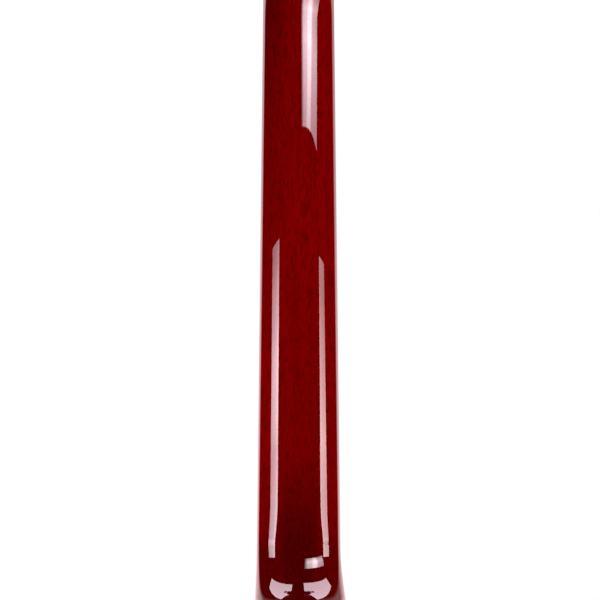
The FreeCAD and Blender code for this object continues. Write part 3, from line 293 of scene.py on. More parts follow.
def neck_skin():
    """The neck's rounded back in one smooth closed skin, from the heel's shoulder to the headstock's flat.

    Its sections change all the way along, and its gloss shows every ripple, so a fine grid is laid on their
    curves point by point instead of being pulled out of a few loops.
    """
    runs = [(0, CAP_START, 2), (CAP_START, COVE_END, 12), (COVE_END, COVE_START, 48),
            (COVE_START, HEEL_REACH, 14), (HEEL_REACH, BEND_Z - BLEND_BELOW, 74)]
    stations = [(shaft_point, z) for run in runs for z in steps(*run)]
    stations += [(bend_point, v) for v in [*steps(-BLEND_BELOW, BLEND_ABOVE, 54), BLEND_ABOVE]]
    last, quarter = len(stations) - 1, 64
    bpy.ops.object.select_all(action="DESELECT")
    bpy.ops.mesh.primitive_grid_add(x_subdivisions=last, y_subdivisions=2 * quarter, size=1)
    skin = bpy.context.object
    rim = set()
    for vertex in skin.data.vertices:
        point, place = stations[round((vertex.co.x + 0.5) * last)]
        turn = round((vertex.co.y + 0.5) * 2 * quarter)
        angle = math.pi / 2 * min(turn, 2 * quarter - turn) / quarter
        vertex.co = point(place, 1 if turn <= quarter else -1, angle) * MM
        if angle == 0:
            rim.add(vertex.index)
    bpy.ops.object.mode_set(mode="EDIT")
    bpy.ops.mesh.select_mode(type="EDGE")
    bpy.ops.mesh.select_all(action="DESELECT")
    bpy.ops.object.mode_set(mode="OBJECT")
    for edge in skin.data.edges:
        edge.select = set(edge.vertices) <= rim
    bpy.ops.object.mode_set(mode="EDIT")
    bpy.ops.mesh.bridge_edge_loops()
    bpy.ops.mesh.select_all(action="SELECT")
    bpy.ops.mesh.fill_holes(sides=0)
    bpy.ops.mesh.select_all(action="SELECT")
    bpy.ops.mesh.normals_make_consistent(inside=False)
    bpy.ops.object.mode_set(mode="OBJECT")
    return skin


def neck_wood(lacquer, bare):
    """The whole shaft: the smooth back with the rod's slot and pocket, the tenon and the headstock's core."""
    wood = neck_skin()
    above = block((-FAR, -FAR, -FAR), (FAR, FAR, VENEER), HEAD_FRAME)
    cut(above, block((-FAR, -FAR, BEND_Z), (FAR, FAR, BEND_Z + FAR)), "INTERSECT")
    cut(wood, above)
    pocket = BEND_Z + CAVITY_START
    pocket_end = pocket + CAVITY_LENGTH
    cut(wood, block((-SLOT_HALF, -SLOT_FLOOR, -FAR), (SLOT_HALF, VENEER, pocket + VENEER)))
    cut(wood, block((-CAVITY_HALF, -CAVITY_FLOOR, pocket), (CAVITY_HALF, VENEER, pocket_end)))
    tenon = solid_of("neck_shaft")
    cut(tenon, block((-FAR, -FAR, -FAR), (FAR, FAR, 0)), "INTERSECT")
    cut(wood, tenon, "UNION")
    core = solid_of("neck_shaft")
    cut(core, block((-FAR, BLEND_ABOVE - SLACK, -FAR), (FAR, 3 * FAR, FAR), HEAD_FRAME), "INTERSECT")
    cut(wood, core, "UNION")
    wood.data.materials.clear()
    wood.data.materials.append(lacquer)
    wood.data.materials.append(bare)
    for face in wood.data.polygons:
        spot = face.center / MM
        on_tenon = spot.z < TOUCHING
        on_glue_line = abs(spot.y) < TOUCHING and spot.z < BEND_Z
        in_rod_room = (abs(spot.x) < CAVITY_HALF + SLACK and spot.y > -CAVITY_FLOOR - SLACK
                       and spot.z < pocket_end + SLACK)
        if on_tenon or on_glue_line or in_rod_room:
            face.material_index = 1
    smooth(wood)
    return put_in(wood, "neck_wood", "neck", "cherry_mahogany", "neck_shaft")


# ---- Materials ----

def colour(code):
    """An sRGB hex code as linear red, green, blue and alpha."""
    shares = [int(code[i:i + 2], 16) / 255 for i in (1, 3, 5)]
    return tuple(s / 12.92 if s <= 0.04045 else ((s + 0.055) / 1.055) ** 2.4 for s in shares) + (1.0,)


def plain(value):
    """What a socket is set to: a colour's code turned to its numbers, and anything else as it is."""
    return colour(value) if isinstance(value, str) else value


def output_of(value):
    """A node's first output in use, and anything else as it is."""
    if isinstance(value, bpy.types.Node):
        return next(output for output in value.outputs if output.enabled)
    return value


def put(tree, kind, inputs=None, stops=(), **settings):
    """Adds a node. An input is a number, a colour's code, a vector, or the node or output to link to it.

    Stops are a colour ramp's places and colours or shares of white, from low to high.
    """
    made = tree.nodes.new("ShaderNode" + kind)
    for name, value in settings.items():
        setattr(made, name, value)
    if stops:
        points = made.color_ramp.elements
        while len(points) < len(stops):
            points.new(0.5)
        for point, (place, code) in zip(points, stops):
            point.position = place
            point.color = colour(code) if isinstance(code, str) else (code, code, code, 1.0)
    for name, value in (inputs or {}).items():
        value = output_of(value)
        if isinstance(value, bpy.types.NodeSocket):
            tree.links.new(value, made.inputs[name])
        else:
            made.inputs[name].default_value = plain(value)
    return made


def blank(name, **sockets):
    """A new material: its node tree, its shader with these constants set, and the piece's own coordinates."""
    material = bpy.data.materials.new(name)
    material.use_nodes = True
    tree = material.node_tree
    shader = tree.nodes["Principled BSDF"]
    for socket, value in sockets.items():
        shader.inputs[socket.replace("_", " ")].default_value = plain(value)
    return material, tree, shader, put(tree, "TexCoord").outputs["Object"]


def finish(tree, shader, height=None, depth=0.0, **links):
    """Links the shader's sockets, and a height that stands this many millimetres out of the surface."""
    for socket, node in links.items():
        tree.links.new(output_of(node), shader.inputs[socket.replace("_", " ")])
    if height is not None:
        bump = put(tree, "Bump", {"Height": height, "Distance": depth * MM, "Strength": 1.0})
        tree.links.new(bump.outputs["Normal"], shader.inputs["Normal"])


def per(across, along):
    """The scale that counts coordinates in patches this many millimetres across the neck and along it."""
    return (1 / (across * MM), 1 / (across * MM), 1 / (along * MM))


def cherry_lacquer():
    """Mahogany stained cherry red, filled and sprayed with clear lacquer, sanded level and buffed.

    The eye sees deep red wood with short faint pore lines and a slow figure, under a wet, glass-smooth gloss.
    Shade is painted into the red at the heel and by the nut.
    """
    material, tree, shader, place = blank(
        "cherry_stained_mahogany_buffed_lacquer", Roughness=0.5, Specular_IOR_Level=0.0,
        Coat_Weight=1.0, Coat_Roughness=0.015, Coat_IOR=1.5,
        Sheen_Weight=0.3, Sheen_Roughness=0.25, Sheen_Tint="#ff2438")
    # Pores 0.3 mm wide and 3 to 8 mm long, drawn 1.1 mm wide so that they show.
    leaning = put(tree, "Mapping", {"Vector": place, "Rotation": (0, math.radians(3), 0),
                                    "Scale": per(1.1, 5.5)})
    pores = put(tree, "TexNoise", {"Vector": leaning, "Scale": 1.0, "Detail": 2.0, "Roughness": 0.6})
    bands = put(tree, "Mapping", {"Vector": place, "Rotation": (0, math.radians(-4), 0),
                                  "Scale": per(6, 60)})
    figure = put(tree, "TexNoise", {"Vector": bands, "Scale": 1.0, "Detail": 3.0, "Roughness": 0.55})
    stain_and_painted_shade = put(tree, "ValToRGB", {"Fac": figure}, [(0.3, "#710000"), (0.7, "#7e0001")])
    # Painted shade: the red is painted darker in the middle of the heel, all round its foot, and on the
    # treble side by the nut, where less light falls.
    spot = put(tree, "SeparateXYZ", {"Vector": place})
    low_down = put(tree, "MapRange", {"Value": spot.outputs["Z"], "From Min": 105 * MM, "From Max": 40 * MM},
                   interpolation_type="SMOOTHSTEP")
    off_middle = put(tree, "Math", {0: spot.outputs["X"]}, operation="ABSOLUTE")
    middle = put(tree, "MapRange", {"Value": off_middle, "From Min": 5 * MM, "From Max": 20 * MM,
                                    "To Min": 0.85, "To Max": 0.05}, interpolation_type="SMOOTHSTEP")
    painted_shade = put(tree, "Math", {0: low_down, 1: middle}, operation="MULTIPLY")
    foot = put(tree, "MapRange", {"Value": spot.outputs["Z"], "From Min": 54 * MM, "From Max": 34 * MM,
                                  "To Min": 0.0, "To Max": 0.6}, interpolation_type="SMOOTHSTEP")
    painted_shade = put(tree, "Math", {0: painted_shade, 1: foot}, operation="MAXIMUM")
    high_up = put(tree, "MapRange", {"Value": spot.outputs["Z"], "From Min": 285 * MM, "From Max": 380 * MM,
                                     "To Min": 0.0, "To Max": 0.62})
    treble_side = put(tree, "MapRange", {"Value": spot.outputs["X"], "From Min": -3 * MM,
                                         "From Max": -14 * MM}, interpolation_type="SMOOTHSTEP")
    by_nut = put(tree, "Math", {0: high_up, 1: treble_side}, operation="MULTIPLY")
    painted_shade = put(tree, "Math", {0: painted_shade, 1: by_nut}, operation="MAXIMUM")
    # Painted shade: the stain is mixed towards a dark red wherever the shade mask is high.
    stain_and_painted_shade = put(tree, "Mix", {0: painted_shade, 6: stain_and_painted_shade, 7: "#490000"}, data_type="RGBA")
    flecks = put(tree, "ValToRGB", {"Fac": pores}, [(0.36, "#cccccc"), (0.5, "#ffffff")])
    wood = put(tree, "Mix", {0: 1.0, 6: stain_and_painted_shade, 7: flecks}, data_type="RGBA", blend_type="MULTIPLY")
    finish(tree, shader, Base_Color=wood)
    return material


def bare_mahogany():
    """Mahogany straight off the router and the chisel: open-pored, light reddish brown and quite matt."""
    material, tree, shader, place = blank("planed_mahogany", Roughness=0.75, Specular_IOR_Level=0.3)
    grain = put(tree, "TexNoise", {"Vector": put(tree, "Mapping", {"Vector": place, "Scale": per(2.2, 70)}),
                                   "Scale": 1.0, "Detail": 4.0})
    pores = put(tree, "TexNoise", {"Vector": put(tree, "Mapping", {"Vector": place, "Scale": per(0.5, 6)}),
                                   "Scale": 1.0, "Detail": 1.0})
    tone = put(tree, "ValToRGB", {"Fac": grain}, [(0.3, "#8d5236"), (0.52, "#a3664a"), (0.7, "#b57a5a")])
    flecks = put(tree, "ValToRGB", {"Fac": pores}, [(0.35, "#a58d80"), (0.48, "#ffffff")])
    wood = put(tree, "Mix", {0: 1.0, 6: tone, 7: flecks}, data_type="RGBA", blend_type="MULTIPLY")
    finish(tree, shader, height=pores, depth=0.08, Base_Color=wood)
    return material


def rosewood():
    """Rosewood planed to its radius, sanded and oiled: dark streaks, long open pores and a soft sheen."""
    material, tree, shader, place = blank("oiled_rosewood")
    drawn_out = put(tree, "Mapping", {"Vector": place, "Scale": per(3.2, 190)})
    streaks = put(tree, "TexNoise", {"Vector": drawn_out, "Scale": 1.0, "Detail": 5.0, "Distortion": 0.6})
    # Pores 0.2 mm wide, drawn 0.4 mm wide so that they show.
    pores = put(tree, "TexNoise", {"Vector": put(tree, "Mapping", {"Vector": place, "Scale": per(0.4, 9)}),
                                   "Scale": 1.0, "Detail": 2.0})
    tone = put(tree, "ValToRGB", {"Fac": streaks},
               [(0.28, "#23130d"), (0.45, "#3d2419"), (0.58, "#553424"), (0.75, "#6a432c")])
    flecks = put(tree, "ValToRGB", {"Fac": pores}, [(0.34, "#8d7f77"), (0.5, "#ffffff")])
    wood = put(tree, "Mix", {0: 1.0, 6: tone, 7: flecks}, data_type="RGBA", blend_type="MULTIPLY")
    sheen = put(tree, "MapRange", {"Value": pores, "From Min": 0.36, "From Max": 0.5,
                                   "To Min": 0.7, "To Max": 0.4})
    finish(tree, shader, height=pores, depth=0.06, Base_Color=wood, Roughness=sheen)
    return material


def black_lacquer():
    """A dyed veneer under black and clear lacquer, buffed: a deep black with the faintest orange peel."""
    material, tree, shader, place = blank(
        "black_lacquered_veneer", Roughness=0.4, Specular_IOR_Level=0.0,
        Coat_Weight=1.0, Coat_Roughness=0.02, Coat_IOR=1.5)
    peel = put(tree, "TexNoise", {"Vector": place, "Scale": 1 / (5 * MM), "Detail": 1.0})
    depths = put(tree, "ValToRGB", {"Fac": peel}, [(0.3, "#070607"), (0.7, "#0b0a0b")])
    finish(tree, shader, height=peel, depth=0.006, Base_Color=depths)
    return material


def cream_binding():
    """Cream celluloid strip, glued on, scraped flush and buffed: warm, faintly mottled and softly shiny."""
    material, tree, shader, place = blank("scraped_cream_celluloid", Coat_Weight=0.4, Coat_Roughness=0.08)
    mottle = put(tree, "TexNoise", {"Vector": put(tree, "Mapping", {"Vector": place, "Scale": per(5, 30)}),
                                    "Scale": 1.0, "Detail": 3.0})
    tone = put(tree, "ValToRGB", {"Fac": mottle}, [(0.3, "#dfcf9f"), (0.7, "#ebdfb8")])
    scrape = put(tree, "TexNoise", {"Vector": put(tree, "Mapping", {"Vector": place, "Scale": per(0.3, 18)}),
                                    "Scale": 1.0, "Detail": 2.0})
    sheen = put(tree, "MapRange", {"Value": scrape, "To Min": 0.26, "To Max": 0.44})
    finish(tree, shader, height=scrape, depth=0.01, Base_Color=tone, Roughness=sheen)
    return material


def nickel_silver():
    """Nickel silver wire, filed, crowned and polished: a warm grey metal with fine marks across the neck."""
    material, tree, shader, place = blank("crowned_nickel_silver", Metallic=1.0)
    marks = put(tree, "TexNoise", {"Vector": put(tree, "Mapping", {"Vector": place, "Scale": per(7, 0.25)}),
                                   "Scale": 1.0, "Detail": 2.0})
    tone = put(tree, "ValToRGB", {"Fac": marks}, [(0.3, "#bdb7a8"), (0.7, "#cfcabd")])
    sheen = put(tree, "MapRange", {"Value": marks, "To Min": 0.14, "To Max": 0.3})
    finish(tree, shader, height=marks, depth=0.004, Base_Color=tone, Roughness=sheen)
    return material


def pearl():
    """Pearloid: cast acrylic whose folded layers catch the light as pale silvery clouds, polished flush."""
    material, tree, shader, place = blank("polished_pearloid", Coat_Weight=0.6, Coat_Roughness=0.04)
    folds = put(tree, "TexNoise", {"Vector": place, "Scale": 1 / (3.2 * MM), "Detail": 3.0,
                                   "Distortion": 2.2})
    tone = put(tree, "ValToRGB", {"Fac": folds},
               [(0.3, "#bfc4c4"), (0.45, "#eceae2"), (0.55, "#d5d6d4"), (0.7, "#f6f3ea")])
    sheen = put(tree, "MapRange", {"Value": folds, "To Min": 0.16, "To Max": 0.34})
    finish(tree, shader, Base_Color=tone, Roughness=sheen)
    return material


def black_dot_plastic():
    """Black plastic rod set in the binding and cut flush: near-black with a scraped, half-dull face."""
    material, tree, shader, place = blank("scraped_black_plastic_rod")
    marks = put(tree, "TexNoise", {"Vector": put(tree, "Mapping", {"Vector": place, "Scale": per(0.2, 3)}),
                                   "Scale": 1.0, "Detail": 2.0})
    tone = put(tree, "ValToRGB", {"Fac": marks}, [(0.3, "#0c0b0b"), (0.7, "#161515")])
    sheen = put(tree, "MapRange", {"Value": marks, "To Min": 0.3, "To Max": 0.45})
    finish(tree, shader, height=marks, depth=0.008, Base_Color=tone, Roughness=sheen)
    return material


def bone():
    """Bleached bone, filed and polished: warm off-white with faint streaks and a few fine pores."""
    material, tree, shader, place = blank("polished_bone", Coat_Weight=0.25, Coat_Roughness=0.1)
    streaks = put(tree, "TexNoise", {"Vector": put(tree, "Mapping", {"Vector": place, "Scale": per(9, 0.9)}),
                                     "Scale": 1.0, "Detail": 3.0})
    tone = put(tree, "ValToRGB", {"Fac": streaks}, [(0.3, "#dccfab"), (0.6, "#ebe2c6"), (0.75, "#f1ead4")])
    pits = put(tree, "TexNoise", {"Vector": place, "Scale": 1 / (0.7 * MM), "Detail": 1.0})
    sheen = put(tree, "MapRange", {"Value": pits, "To Min": 0.22, "To Max": 0.42})
    finish(tree, shader, height=pits, depth=0.006, Base_Color=tone, Roughness=sheen)
    return material


def drawn_steel():
    """Bright drawn steel bar: a cool grey metal with fine lines along its length under a film of oil."""
    material, tree, shader, place = blank("drawn_steel_bar", Metallic=1.0)
    lines = put(tree, "TexNoise", {"Vector": put(tree, "Mapping", {"Vector": place, "Scale": per(0.25, 30)}),
                                   "Scale": 1.0, "Detail": 3.0})
    tone = put(tree, "ValToRGB", {"Fac": lines}, [(0.3, "#7b7d80"), (0.7, "#95979a")])
    sheen = put(tree, "MapRange", {"Value": lines, "To Min": 0.25, "To Max": 0.45})
    finish(tree, shader, height=lines, depth=0.006, Base_Color=tone, Roughness=sheen)
    return material


def maple():
    """A planed maple strip: pale honey wood, close-grained and matt."""
    material, tree, shader, place = blank("planed_maple", Roughness=0.65)
    grain = put(tree, "TexNoise", {"Vector": put(tree, "Mapping", {"Vector": place, "Scale": per(1.5, 60)}),
                                   "Scale": 1.0, "Detail": 4.0})
    tone = put(tree, "ValToRGB", {"Fac": grain}, [(0.3, "#cda878"), (0.7, "#e2c496")])
    finish(tree, shader, height=grain, depth=0.02, Base_Color=tone)
    return material


def machined_brass():
    """Brass cut on a hobbing machine: yellow metal, bright on its faces, with fine tool marks."""
    material, tree, shader, place = blank("hobbed_brass", Metallic=1.0)
    marks = put(tree, "TexNoise", {"Vector": place, "Scale": 1 / (0.6 * MM), "Detail": 3.0})
    tone = put(tree, "ValToRGB", {"Fac": marks}, [(0.3, "#b48d47"), (0.7, "#cfaa62")])
    sheen = put(tree, "MapRange", {"Value": marks, "To Min": 0.2, "To Max": 0.36})
    finish(tree, shader, height=marks, depth=0.008, Base_Color=tone, Roughness=sheen)
    return material


def layered_black_plastic():
    """Three-ply sheet, routed and bevelled: glossy black faces and a white ply that shows as a fine line."""
    material, tree, shader, place = blank("three_ply_black_white_sheet", Coat_Weight=0.5, Coat_Roughness=0.04)
    lift = put(tree, "VectorMath", {0: place, 1: tuple(FACING)}, operation="DOT_PRODUCT")
    ground = FACING.dot(Vector((0, 0, BEND_Z))) * MM
    over_black = put(tree, "MapRange", {"Value": lift.outputs["Value"],
                                        "From Min": ground + (PLY_LOW - PLY_BLUR) * MM,
                                        "From Max": ground + (PLY_LOW + PLY_BLUR) * MM})
    under_black = put(tree, "MapRange", {"Value": lift.outputs["Value"],
                                         "From Min": ground + (PLY_HIGH - PLY_BLUR) * MM,
                                         "From Max": ground + (PLY_HIGH + PLY_BLUR) * MM,
                                         "To Min": 1.0, "To Max": 0.0})
    white = put(tree, "Math", {0: over_black, 1: under_black}, operation="MULTIPLY")
    rubs = put(tree, "TexNoise", {"Vector": place, "Scale": 1 / (6 * MM), "Detail": 4.0})
    black = put(tree, "ValToRGB", {"Fac": rubs}, [(0.3, "#0a0a0b"), (0.7, "#121213")])
    tone = put(tree, "Mix", {0: white, 6: black, 7: "#dcdad2"}, data_type="RGBA")
    sheen = put(tree, "MapRange", {"Value": rubs, "To Min": 0.12, "To Max": 0.26})
    finish(tree, shader, Base_Color=tone.outputs[2], Roughness=sheen)
    return material


def nickel_plate():
    """Nickel plate over stamped and turned steel: a warm, bright mirror with faint handling haze."""
    material, tree, shader, place = blank("polished_nickel_plate", Metallic=1.0)
    haze = put(tree, "TexNoise", {"Vector": place, "Scale": 1 / (4 * MM), "Detail": 4.0})
    tone = put(tree, "ValToRGB", {"Fac": haze}, [(0.3, "#c4bfb4"), (0.7, "#d3cfc6")])
    sheen = put(tree, "MapRange", {"Value": haze, "To Min": 0.1, "To Max": 0.24})
    finish(tree, shader, height=haze, depth=0.004, Base_Color=tone, Roughness=sheen)
    return material


def cream_button_plastic():
    """Cast cream plastic, tumbled to a shine: warm, slightly cloudy, with light just entering its skin."""
    material, tree, shader, place = blank(
        "tumbled_cream_plastic", Subsurface_Weight=0.12, Subsurface_Scale=1.2 * MM,
        Coat_Weight=0.5, Coat_Roughness=0.05)
    cloud = put(tree, "TexNoise", {"Vector": place, "Scale": 1 / (9 * MM), "Detail": 4.0,
                                   "Distortion": 1.0})
    tone = put(tree, "ValToRGB", {"Fac": cloud}, [(0.3, "#d2bf8a"), (0.7, "#e0d3aa")])
    sheen = put(tree, "MapRange", {"Value": cloud, "To Min": 0.24, "To Max": 0.36})
    finish(tree, shader, Base_Color=tone, Roughness=sheen)
    return material


# ---- The pieces and their finishes ----

def wear(material, *names):
    """Gives a material to these CAD nodes."""
    for name in names:
        for slot in NODES[name].material_slots:
            slot.material = material


def shown(thing, name, body, slot, material, *nodes):
    """Puts a finished piece of one material in the place of these CAD nodes."""
    thing.data.materials.clear()
    thing.data.materials.append(material)
    return put_in(thing, name, body, slot, *nodes)


lacquer = cherry_lacquer()
neck_wood(lacquer, bare_mahogany())
plate = nickel_plate()
brass = machined_brass()
steel = drawn_steel()
button = cream_button_plastic()
wear(lacquer, "headstock_wing_bass", "headstock_wing_treble")
wear(black_lacquer(), "headstock_veneer")
wear(rosewood(), "fingerboard")
wear(cream_binding(), "binding_bass", "binding_treble", "binding_end")
wear(nickel_silver(), "frets")
wear(pearl(), "fret_markers")
wear(black_dot_plastic(), "side_markers")
wear(steel, "truss_rod", "truss_rod_anchor", "truss_rod_washer")
wear(maple(), "truss_rod_filler")
shown(eased("nut", 0.3), "filed_nut", "neck", "bone", bone(), "nut")
shown(eased("truss_rod_cover", 0.06), "bevelled_cover", "neck", "black_plastic", layered_black_plastic(),
      "truss_rod_cover")
shown(eased("truss_cover_screws", 0.08), "cover_screws", "neck", "steel", steel, "truss_cover_screws")
shown(eased("truss_rod_nut", 0.2), "hexagon_nut", "rod_nut", "brass", brass, "truss_rod_nut")
shown(eased("tuner_plate_screws", 0.08), "domed_plate_screws", "neck", "nickel_plate", plate,
      "tuner_plate_screws")
shown(eased("tuner_bushings", 0.15), "turned_bushings", "neck", "nickel_plate", plate, "tuner_bushings")
for string in STRINGS:
    wear(plate, f"tuner_plate_{string}")
    shown(eased(f"worm_shaft_{string}", 0.07), f"cut_worm_{string}", f"key_{string}", "nickel_plate", plate,
          f"worm_shaft_{string}")
    shown(cast_button(string), f"cast_button_{string}", f"key_{string}", "cream_buttons", button,
          f"key_button_{string}")
    shown(eased(f"string_post_{string}", 0.15), f"turned_post_{string}", f"post_{string}", "nickel_plate",
          plate, f"string_post_{string}")
    shown(eased(f"worm_wheel_{string}", 0.07), f"hobbed_wheel_{string}", f"post_{string}", "brass", brass,
          f"worm_wheel_{string}")
    shown(eased(f"wheel_screw_{string}", 0.08), f"domed_wheel_screw_{string}", f"post_{string}",
          "nickel_plate", plate, f"wheel_screw_{string}")


# ---- Camera ----

TARGET = Vector((0.00085, -0.012, 0.191))
DISTANCE = 1.15                  # from the camera to the neck, in metres
RISE = math.radians(4)           # how far it looks down
VIEW_WIDTH = 0.3663              # metres across the view at the neck
camera = bpy.data.objects.new("camera", bpy.data.cameras.new("camera"))
bpy.context.scene.collection.objects.link(camera)
camera.location = TARGET + DISTANCE * Vector((0, -math.cos(RISE), math.sin(RISE)))
camera.rotation_euler = (TARGET - camera.location).to_track_quat("-Z", "Y").to_euler()
camera.data.lens = camera.data.sensor_width * DISTANCE / VIEW_WIDTH
bpy.context.scene.camera = camera


# ---- Lamps ----

EVEN = (0.0, 1.0), (1.0, 1.0)    # the same strength all over
LEFT_AWAY, RIGHT_AWAY, FOOT_AWAY = 834, 731, 150    # from the neck, in millimetres
FOOT_LOW = 51                    # height of the foot panels' lower edge
LEFT_LEVEL, LEFT_TINT = 22, "#ffe2eb"
RIGHT_LEVEL, RIGHT_TINT = 21, "#ffdadb"
HIGH_LEVEL, HIGH_TINT = 29, "#ffe9f2"
OVERHEAD_LEVEL, OVERHEAD_TINT = 12.4, "#ffe2ee"
FADE = 0.03                      # a strip fades out over this last stretch of its reach, in metres
DOWN = Vector((0, 0, -0.74))     # from a long strip's upper edge to its lower one
LIFT = 0.7                       # height of the overhead panels above the heel, in metres
MIDDLE = Vector((0, 0, 0.2))


def around(azimuth, distance, height):
    """A point at this angle from the side of the neck's back, to the bass side, in millimetres."""
    turn = math.radians(azimuth)
    return Vector((math.sin(turn) * distance, -math.cos(turn) * distance, height)) * MM


def glow(name, corners, strength, tint, across=EVEN, upward=EVEN, bow=0.0, mirrors=9, start=0.0, reach=9.0):
    """A lit panel that only glossy surfaces show: a studio's strip lamp as polished lacquer mirrors it.

    Corners run round from the lower left, seen from the neck. Its strength may change across it and upward.
    Its lower edge may bow upward by a share of its height. It shows after no more than this many reflections
    in a row, and in surfaces no nearer to it than start and no further off than reach, in metres.
    """
    bpy.ops.object.select_all(action="DESELECT")
    bpy.ops.mesh.primitive_plane_add(size=1)
    panel = bpy.context.object
    panel.name = panel.data.name = name
    for vertex, index in zip(panel.data.vertices, (0, 1, 3, 2)):
        vertex.co = corners[index]
    material = bpy.data.materials.new(name + "_diffuser")
    material.use_nodes = True
    tree = material.node_tree
    tree.nodes.clear()
    ray = put(tree, "LightPath")
    spot = put(tree, "SeparateXYZ", {"Vector": put(tree, "TexCoord").outputs["UV"]})
    sideways = put(tree, "ValToRGB", {"Fac": spot.outputs["X"]}, across)
    upwards = put(tree, "ValToRGB", {"Fac": spot.outputs["Y"]}, upward)
    shares = put(tree, "Math", {0: sideways, 1: upwards}, operation="MULTIPLY")
    bounces = put(tree, "Math", {0: ray.outputs["Glossy Depth"], 1: mirrors + 0.5}, operation="LESS_THAN")
    near = put(tree, "MapRange", {"Value": ray.outputs["Ray Length"], "From Min": reach,
                                  "From Max": reach + FADE, "To Min": 1.0, "To Max": 0.0})
    far = put(tree, "Math", {0: ray.outputs["Ray Length"], 1: start}, operation="GREATER_THAN")
    fall = put(tree, "Math", {0: spot.outputs["X"], 1: -4 * bow, 2: 4 * bow}, operation="MULTIPLY_ADD")
    hem = put(tree, "Math", {0: spot.outputs["X"], 1: fall}, operation="MULTIPLY")
    inside = put(tree, "Math", {0: spot.outputs["Y"], 1: hem}, operation="GREATER_THAN")
    amount = put(tree, "Math", {0: shares, 1: strength}, operation="MULTIPLY")
    for limit in (bounces, near, far, inside):
        amount = put(tree, "Math", {0: amount, 1: limit}, operation="MULTIPLY")
    light = put(tree, "Emission", {"Color": tint, "Strength": amount})
    put(tree, "OutputMaterial", {"Surface": light})
    panel.data.materials.append(material)
    panel.visible_camera = panel.visible_diffuse = panel.visible_shadow = False
    panel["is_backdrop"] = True


def overhead(name, *spots):
    """A panel over the heel. Its corners are given as shares of its height."""
    corners = [Vector((x * LIFT, y * LIFT, 0.02 + LIFT)) for x, y in spots]
    glow(name, corners, OVERHEAD_LEVEL, OVERHEAD_TINT, mirrors=1, start=0.97 * LIFT)


def softbox(name, place, aim, width, height, level, spread=180):
    """A lamp that lights matt colour only. Its level is what a white card that faces it gives back."""
    data = bpy.data.lights.new(name, "AREA")
    data.shape, data.size, data.size_y, data.spread = "RECTANGLE", width, height, math.radians(spread)
    lamp = bpy.data.objects.new(name, data)
    bpy.context.scene.collection.objects.link(lamp)
    lamp.location = place
    data.energy = level * math.pi ** 2 * (aim - place).length_squared
    lamp.rotation_euler = (aim - place).to_track_quat("-Z", "Y").to_euler()
    lamp.visible_camera = lamp.visible_glossy = False


# A long strip stands on each side of the neck's back, and a short foot panel carries each one on over the
# heel's cove.
outer, inner = around(-57, LEFT_AWAY, 201), around(-34.8, LEFT_AWAY, 211)
across = (0.0, 0.55), (0.7, 0.78), (0.86, 1.0)
glow("strip_left", [outer + DOWN, inner + DOWN, inner, outer], LEFT_LEVEL, LEFT_TINT, across=across,
     upward=((0.0, 0.03), (0.57, 0.04), (0.632, 0.78), (0.65, 0.8), (0.7, 0.72), (0.75, 0.93), (0.8, 0.97),
             (0.837, 0.95), (0.884, 0.71), (0.94, 0.53), (0.966, 0.38), (0.99, 0.32)), reach=0.86)
glow("strip_left_foot", [around(-54.4, FOOT_AWAY, FOOT_LOW), around(-35.1, FOOT_AWAY, FOOT_LOW),
                         around(-35.1, FOOT_AWAY, 88.5), around(-54.4, FOOT_AWAY, 76.5)],
     LEFT_LEVEL, LEFT_TINT, across=across, upward=((0.0, 0.79), (1.0, 0.73)))
inner, outer, outer_low = (around(37.5, RIGHT_AWAY, 196), around(53.6, RIGHT_AWAY, 188.4),
                           around(65.9, RIGHT_AWAY, 188.4))
across = (0.0, 1.0), (0.3, 0.8), (1.0, 0.7)
glow("strip_right", [inner + DOWN, outer_low + DOWN, outer, inner], RIGHT_LEVEL, RIGHT_TINT, across=across,
     upward=((0.0, 0.03), (0.61, 0.04), (0.67, 0.78), (0.715, 0.82), (0.757, 1.0), (0.8, 0.82), (0.882, 0.63),
             (0.958, 0.4)), reach=0.76)
glow("strip_right_foot", [around(37.4, FOOT_AWAY, FOOT_LOW), around(56.6, FOOT_AWAY, FOOT_LOW),
                          around(55.4, FOOT_AWAY, 76), around(37.4, FOOT_AWAY, 86)],
     RIGHT_LEVEL, RIGHT_TINT, across=across, upward=((0.0, 0.79), (1.0, 0.92)))
glow("panel_high", [Vector(spot) * MM for spot in
                    ((30, -578, 317), (388, -600, 298), (515, -600, 570), (25, -578, 572))],
     HIGH_LEVEL, HIGH_TINT, bow=0.02,
     across=((0.0, 0.05), (0.06, 0.6), (0.17, 0.66), (0.25, 1.0), (0.38, 1.0), (0.5, 0.5), (1.0, 0.4)),
     upward=((0.0, 0.45), (0.1, 0.61), (0.32, 1.0), (0.45, 0.8), (1.0, 0.6)))
overhead("overhead_left", (-0.77, -0.45), (-0.03, -0.33), (-0.04, 0.30), (-0.77, -0.05))
overhead("overhead_right", (0.02, -0.39), (0.72, -0.45), (0.94, 0.0), (0.02, 0.30))
softbox("fill_left", around(-45, LEFT_AWAY, -450), Vector((0, 0, 0.03)), 0.35, 0.6, 0.06, spread=38)
softbox("fill_low", around(-84, LEFT_AWAY, 60), Vector((0, 0, 0.1)), 0.15, 0.15, 0.007, spread=16)
softbox("key", Vector((0.75, -0.85, 0.75)), MIDDLE, 0.45, 0.45, 0.33)


# ---- Room ----

